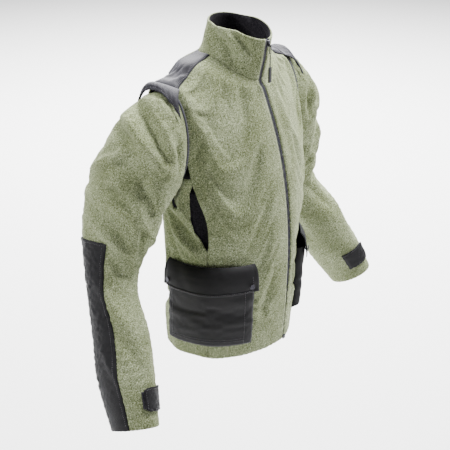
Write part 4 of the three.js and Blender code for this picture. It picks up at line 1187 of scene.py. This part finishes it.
def over_body(a, z, distance, follow=0.5):
    """A point off the body at a height, level outwards, following part of the cloth's folds."""
    v = ring_at_height(a, z)
    along = body_form(a + 0.5, v) - body_form(a - 0.5, v)
    level = np.stack([along[..., 1], -along[..., 0], np.zeros(along.shape[:-1])], -1)
    level *= np.sign((level * (body_form(a, v) * [1, 1, 0])).sum(-1, keepdims=True))
    level /= np.linalg.norm(level, axis=-1, keepdims=True)
    folds = (body.point(a, v) - body_form(a, v)) * np.asarray(follow)[..., None]
    return body_form(a, v) + folds + level * np.asarray(distance)[..., None], level


def grid_normal(points, outwards):
    n = np.cross(np.gradient(points, axis=1), np.gradient(points, axis=0))
    n /= np.maximum(np.linalg.norm(n, axis=-1, keepdims=True), 1e-9)
    return n * np.sign((n * outwards).sum(-1).mean())


def make_cargo_pocket(side, turn):
    """A box pocket with soft walls, open under its flap."""
    a = turn * np.linspace(POCKET_FRONT, POCKET_BACK, 71)[None, :] * np.ones((64, 1))
    share = np.linspace(0, 1, 64)[:, None] * np.ones((1, 71))
    z = mix(POCKET_FOOT, POCKET_MOUTH, share)
    flat, level = over_body(a, z, np.zeros(a.shape), np.zeros(a.shape))
    left, right, foot = edge_distances(flat)[:3]
    near = np.minimum(np.minimum(left, right), foot)
    corner = np.minimum(near / POCKET_CORNER, 1)
    wall = np.sqrt(1 - (1 - corner) ** 2)
    both = np.hypot(np.maximum(0, 14 - np.minimum(left, right)), np.maximum(0, 14 - foot))
    wall = wall * smooth(19, 12, both)
    sag = 2.4 * np.exp(-((foot - 40) / 30) ** 2) * wall
    crease = 1.5 * ripple(flat, 120, 5 + turn) * wall
    off = 1.4 + (POCKET_DEPTH - 1.4) * wall + sag * 0.4 + crease * smooth(0, 40, near)
    seam = -0.9 * np.exp(-((near - POCKET_CORNER) / 1.5) ** 2) * (near > 6)
    points, level = over_body(a, z, off + seam, mix(1.0, 0.25, wall))
    normal = grid_normal(points, level)
    trim_sheet(f"cargo_bag_{side}", points, normal, np.full(a.shape, WEBBING), TRIM_NYLON,
               f"cargo_pocket_{side}", "root", points)
    grey = ALL_THREAD["charcoal"]
    for column in (8, -9):
        grey.append(sewn(points, normal, np.s_[2:-8, column]))
    for row in (7, 9):
        grey.append(sewn(points, normal, np.s_[row, 8:-8]))


def make_pocket_flap(side, turn):
    """The flap bends over the pocket's mouth and hangs down in front of it."""
    run = np.concatenate([[0], np.cumsum(np.hypot(*np.diff(FLAP_PROFILE, axis=0).T))])
    at = np.linspace(0, run[-1], 34)
    z = np.interp(at, run, FLAP_PROFILE[:, 0])[:, None] * np.ones((1, 73))
    off = np.interp(at, run, FLAP_PROFILE[:, 1])
    off = np.convolve(np.pad(off, 2, mode="edge"), np.ones(5) / 5, "valid")[:, None] * np.ones((1, 73))
    across = np.linspace(POCKET_FRONT - FLAP_OVERHANG, POCKET_BACK + FLAP_OVERHANG, 73)
    a = turn * across[None, :] * np.ones((34, 1))
    flat, level = over_body(a, z, off, np.zeros(a.shape))
    left, right, top, foot = edge_distances(flat)
    near = np.minimum(np.minimum(left, right), foot)
    bound = 0.8 * smooth(6, 4.6, near) - 0.7 * np.exp(-((near - 6.8) / 1.1) ** 2)
    bound = bound - 0.9 * np.exp(-(near / 1.0) ** 2)
    hang = smooth(15, 60, top) * (1.3 * ripple(flat, 95, 2 + turn) + 0.8 * np.sin(np.radians(a * 6)))
    z = z - 2.4 * smooth(20, 60, top) * np.cos(np.radians((np.abs(a) - 70) * 2.5))
    points, level = over_body(a, z, off + bound + np.clip(hang, -1.2, 2.2) + 0.4, np.full(a.shape, 0.25))
    normal = grid_normal(points, level)
    flap = trim_sheet(f"pocket_flap_cloth_{side}", points, normal, np.full(a.shape, WEBBING), TRIM_NYLON,
                      f"pocket_flap_{side}", None, flat)
    middle = flat[0, 36]
    in_frame(middle)
    in_frame(middle - np.array([0, 0, 12.0]))
    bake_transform(flap)
    lines = [sewn(points, normal, np.s_[-3, 4:-4])]
    lines += [sewn(points, normal, np.s_[14:-3, k]) for k in (4, -5)]
    sew(f"flap_edge_stitching_{side}", lines, GREY_THREAD, f"flap_{side}")
    ALL_THREAD["charcoal"].append(sewn(points, normal, np.s_[1, 3:-3]))


# ---- hand pockets ---------------------------------------------------------------------------------------
def make_hand_pocket(side, turn):
    """The black bag hangs inside, behind the slanted opening."""
    z = np.linspace(BAG_FOOT, BAG_TOP, 42)[:, None] * np.ones((1, 40))
    a = np.linspace(BAG_FRONT, BAG_BACK, 40)[None, :] * np.ones((42, 1))
    v = ring_at_height(turn * a, z)
    depth = mix(CLOTH + 2.2, BAG_DEPTH, smooth(56, 66, a))
    outer = over_body(turn * a, z, -depth, np.ones(a.shape))[0]
    inner = over_body(turn * a, z, -depth - 5, np.ones(a.shape))[0]
    piece = shell(f"hand_pocket_lining_{side}", outer, inner, [LINING])
    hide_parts(f"hand_pocket_bag_{side}")
    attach(piece, "root")
    flat, area = flat_size(body_form(turn * a, v))


# ---- zip --------------------------------------------------------------------------------------------------
def make_zip(side, turn):
    a, v = panel_grid(body_form, lambda v: angle_from_zip(0.15, v, turn),
                      lambda v: angle_from_zip(13, v, turn), 0.02, 9.97, step=3.8)
    normal = body.normal(a, v)
    outer = body.point(a, v) - normal * 3.3
    tape = shell(f"zip_tape_woven_{side}", outer, outer - normal * 0.9, [TAPE])
    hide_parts(f"zip_tape_{side}")
    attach(tape, "root")
    declare(body_form, a, v)
    v = np.linspace(0.02, 9.9, 400)
    a = angle_from_zip(1.5, v, turn)
    normal = body.normal(a, v)
    teeth = stitches(body.point(a, v) - normal * 2.0, normal, pitch=2.6, length=2.2, width=1.4, height=1.5)
    coil = make_object(f"zip_teeth_{side}", *teeth, [COIL])
    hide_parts(f"zip_coil_{side}")
    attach(coil, "root")


for side, turn, x in SIDES:
    make_cargo_pocket(side, turn)
    make_pocket_flap(side, turn)
    make_hand_pocket(side, turn)
    make_zip(side, turn)
sew("yoke_and_pocket_stitching", ALL_THREAD["charcoal"], GREY_THREAD, "root")

# ---- small hardware: these CAD shapes are right, so they stay and take a real surface ---------------------
KEPT = {"zip_slider": GUNMETAL, "zip_pull_link": GUNMETAL, "zip_pull_grip": MOULDED,
        "zip_retainer_box": MOULDED, "hanger_loop": TAPE}
for side, turn, x in SIDES:
    for part in ("front", "rear"):
        KEPT[f"snap_cap_{side}_{part}"] = GUNMETAL
        KEPT[f"snap_stud_{side}_{part}"] = GUNMETAL
for name, material in KEPT.items():
    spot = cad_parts[name].material_slots[0]
    spot.link = "OBJECT"
    spot.material = material

# ---- floor and light ----------------------------------------------------------------------------------
FLOOR_Z = -1.6


def make_floor():
    made = make_material("pale_floor", base_color=colour("f6f6f6"), roughness=0.9)[0]
    data = bpy.data.meshes.new("floor")
    size = 30
    data.from_pydata([(-size, -size, FLOOR_Z), (size, -size, FLOOR_Z), (size, size, FLOOR_Z),
                      (-size, size, FLOOR_Z)], [], [(0, 1, 2, 3)])
    data.materials.append(made)
    floor = bpy.data.objects.new("floor", data)
    bpy.context.scene.collection.objects.link(floor)


def make_light(name, azimuth, elevation, distance, size, watts, straight_down=False):
    data = bpy.data.lights.new(name, "AREA")
    data.size = size
    data.energy = watts
    light = bpy.data.objects.new(name, data)
    turn, rise = math.radians(azimuth), math.radians(elevation)
    away = Vector((math.sin(turn) * math.cos(rise), -math.cos(turn) * math.cos(rise), math.sin(rise)))
    light.location = Vector((0, -0.05, -0.4)) + away * distance
    if not straight_down:
        light.rotation_euler = away.to_track_quat("Z", "Y").to_euler()
    bpy.context.scene.collection.objects.link(light)


make_floor()
make_light("window_side", -118, 42, 2.6, 0.8, 66)
make_light("front", 50, 60, 2.8, 0.8, 172)
make_light("behind", 126, 37, 5.9, 5.0, 2300, straight_down=True)
world = bpy.data.worlds.new("white_room")
world.use_nodes = True
world.node_tree.nodes["Background"].inputs["Color"].default_value = (1, 1, 1, 1)
world.node_tree.nodes["Background"].inputs["Strength"].default_value = 0.26
bpy.context.scene.world = world
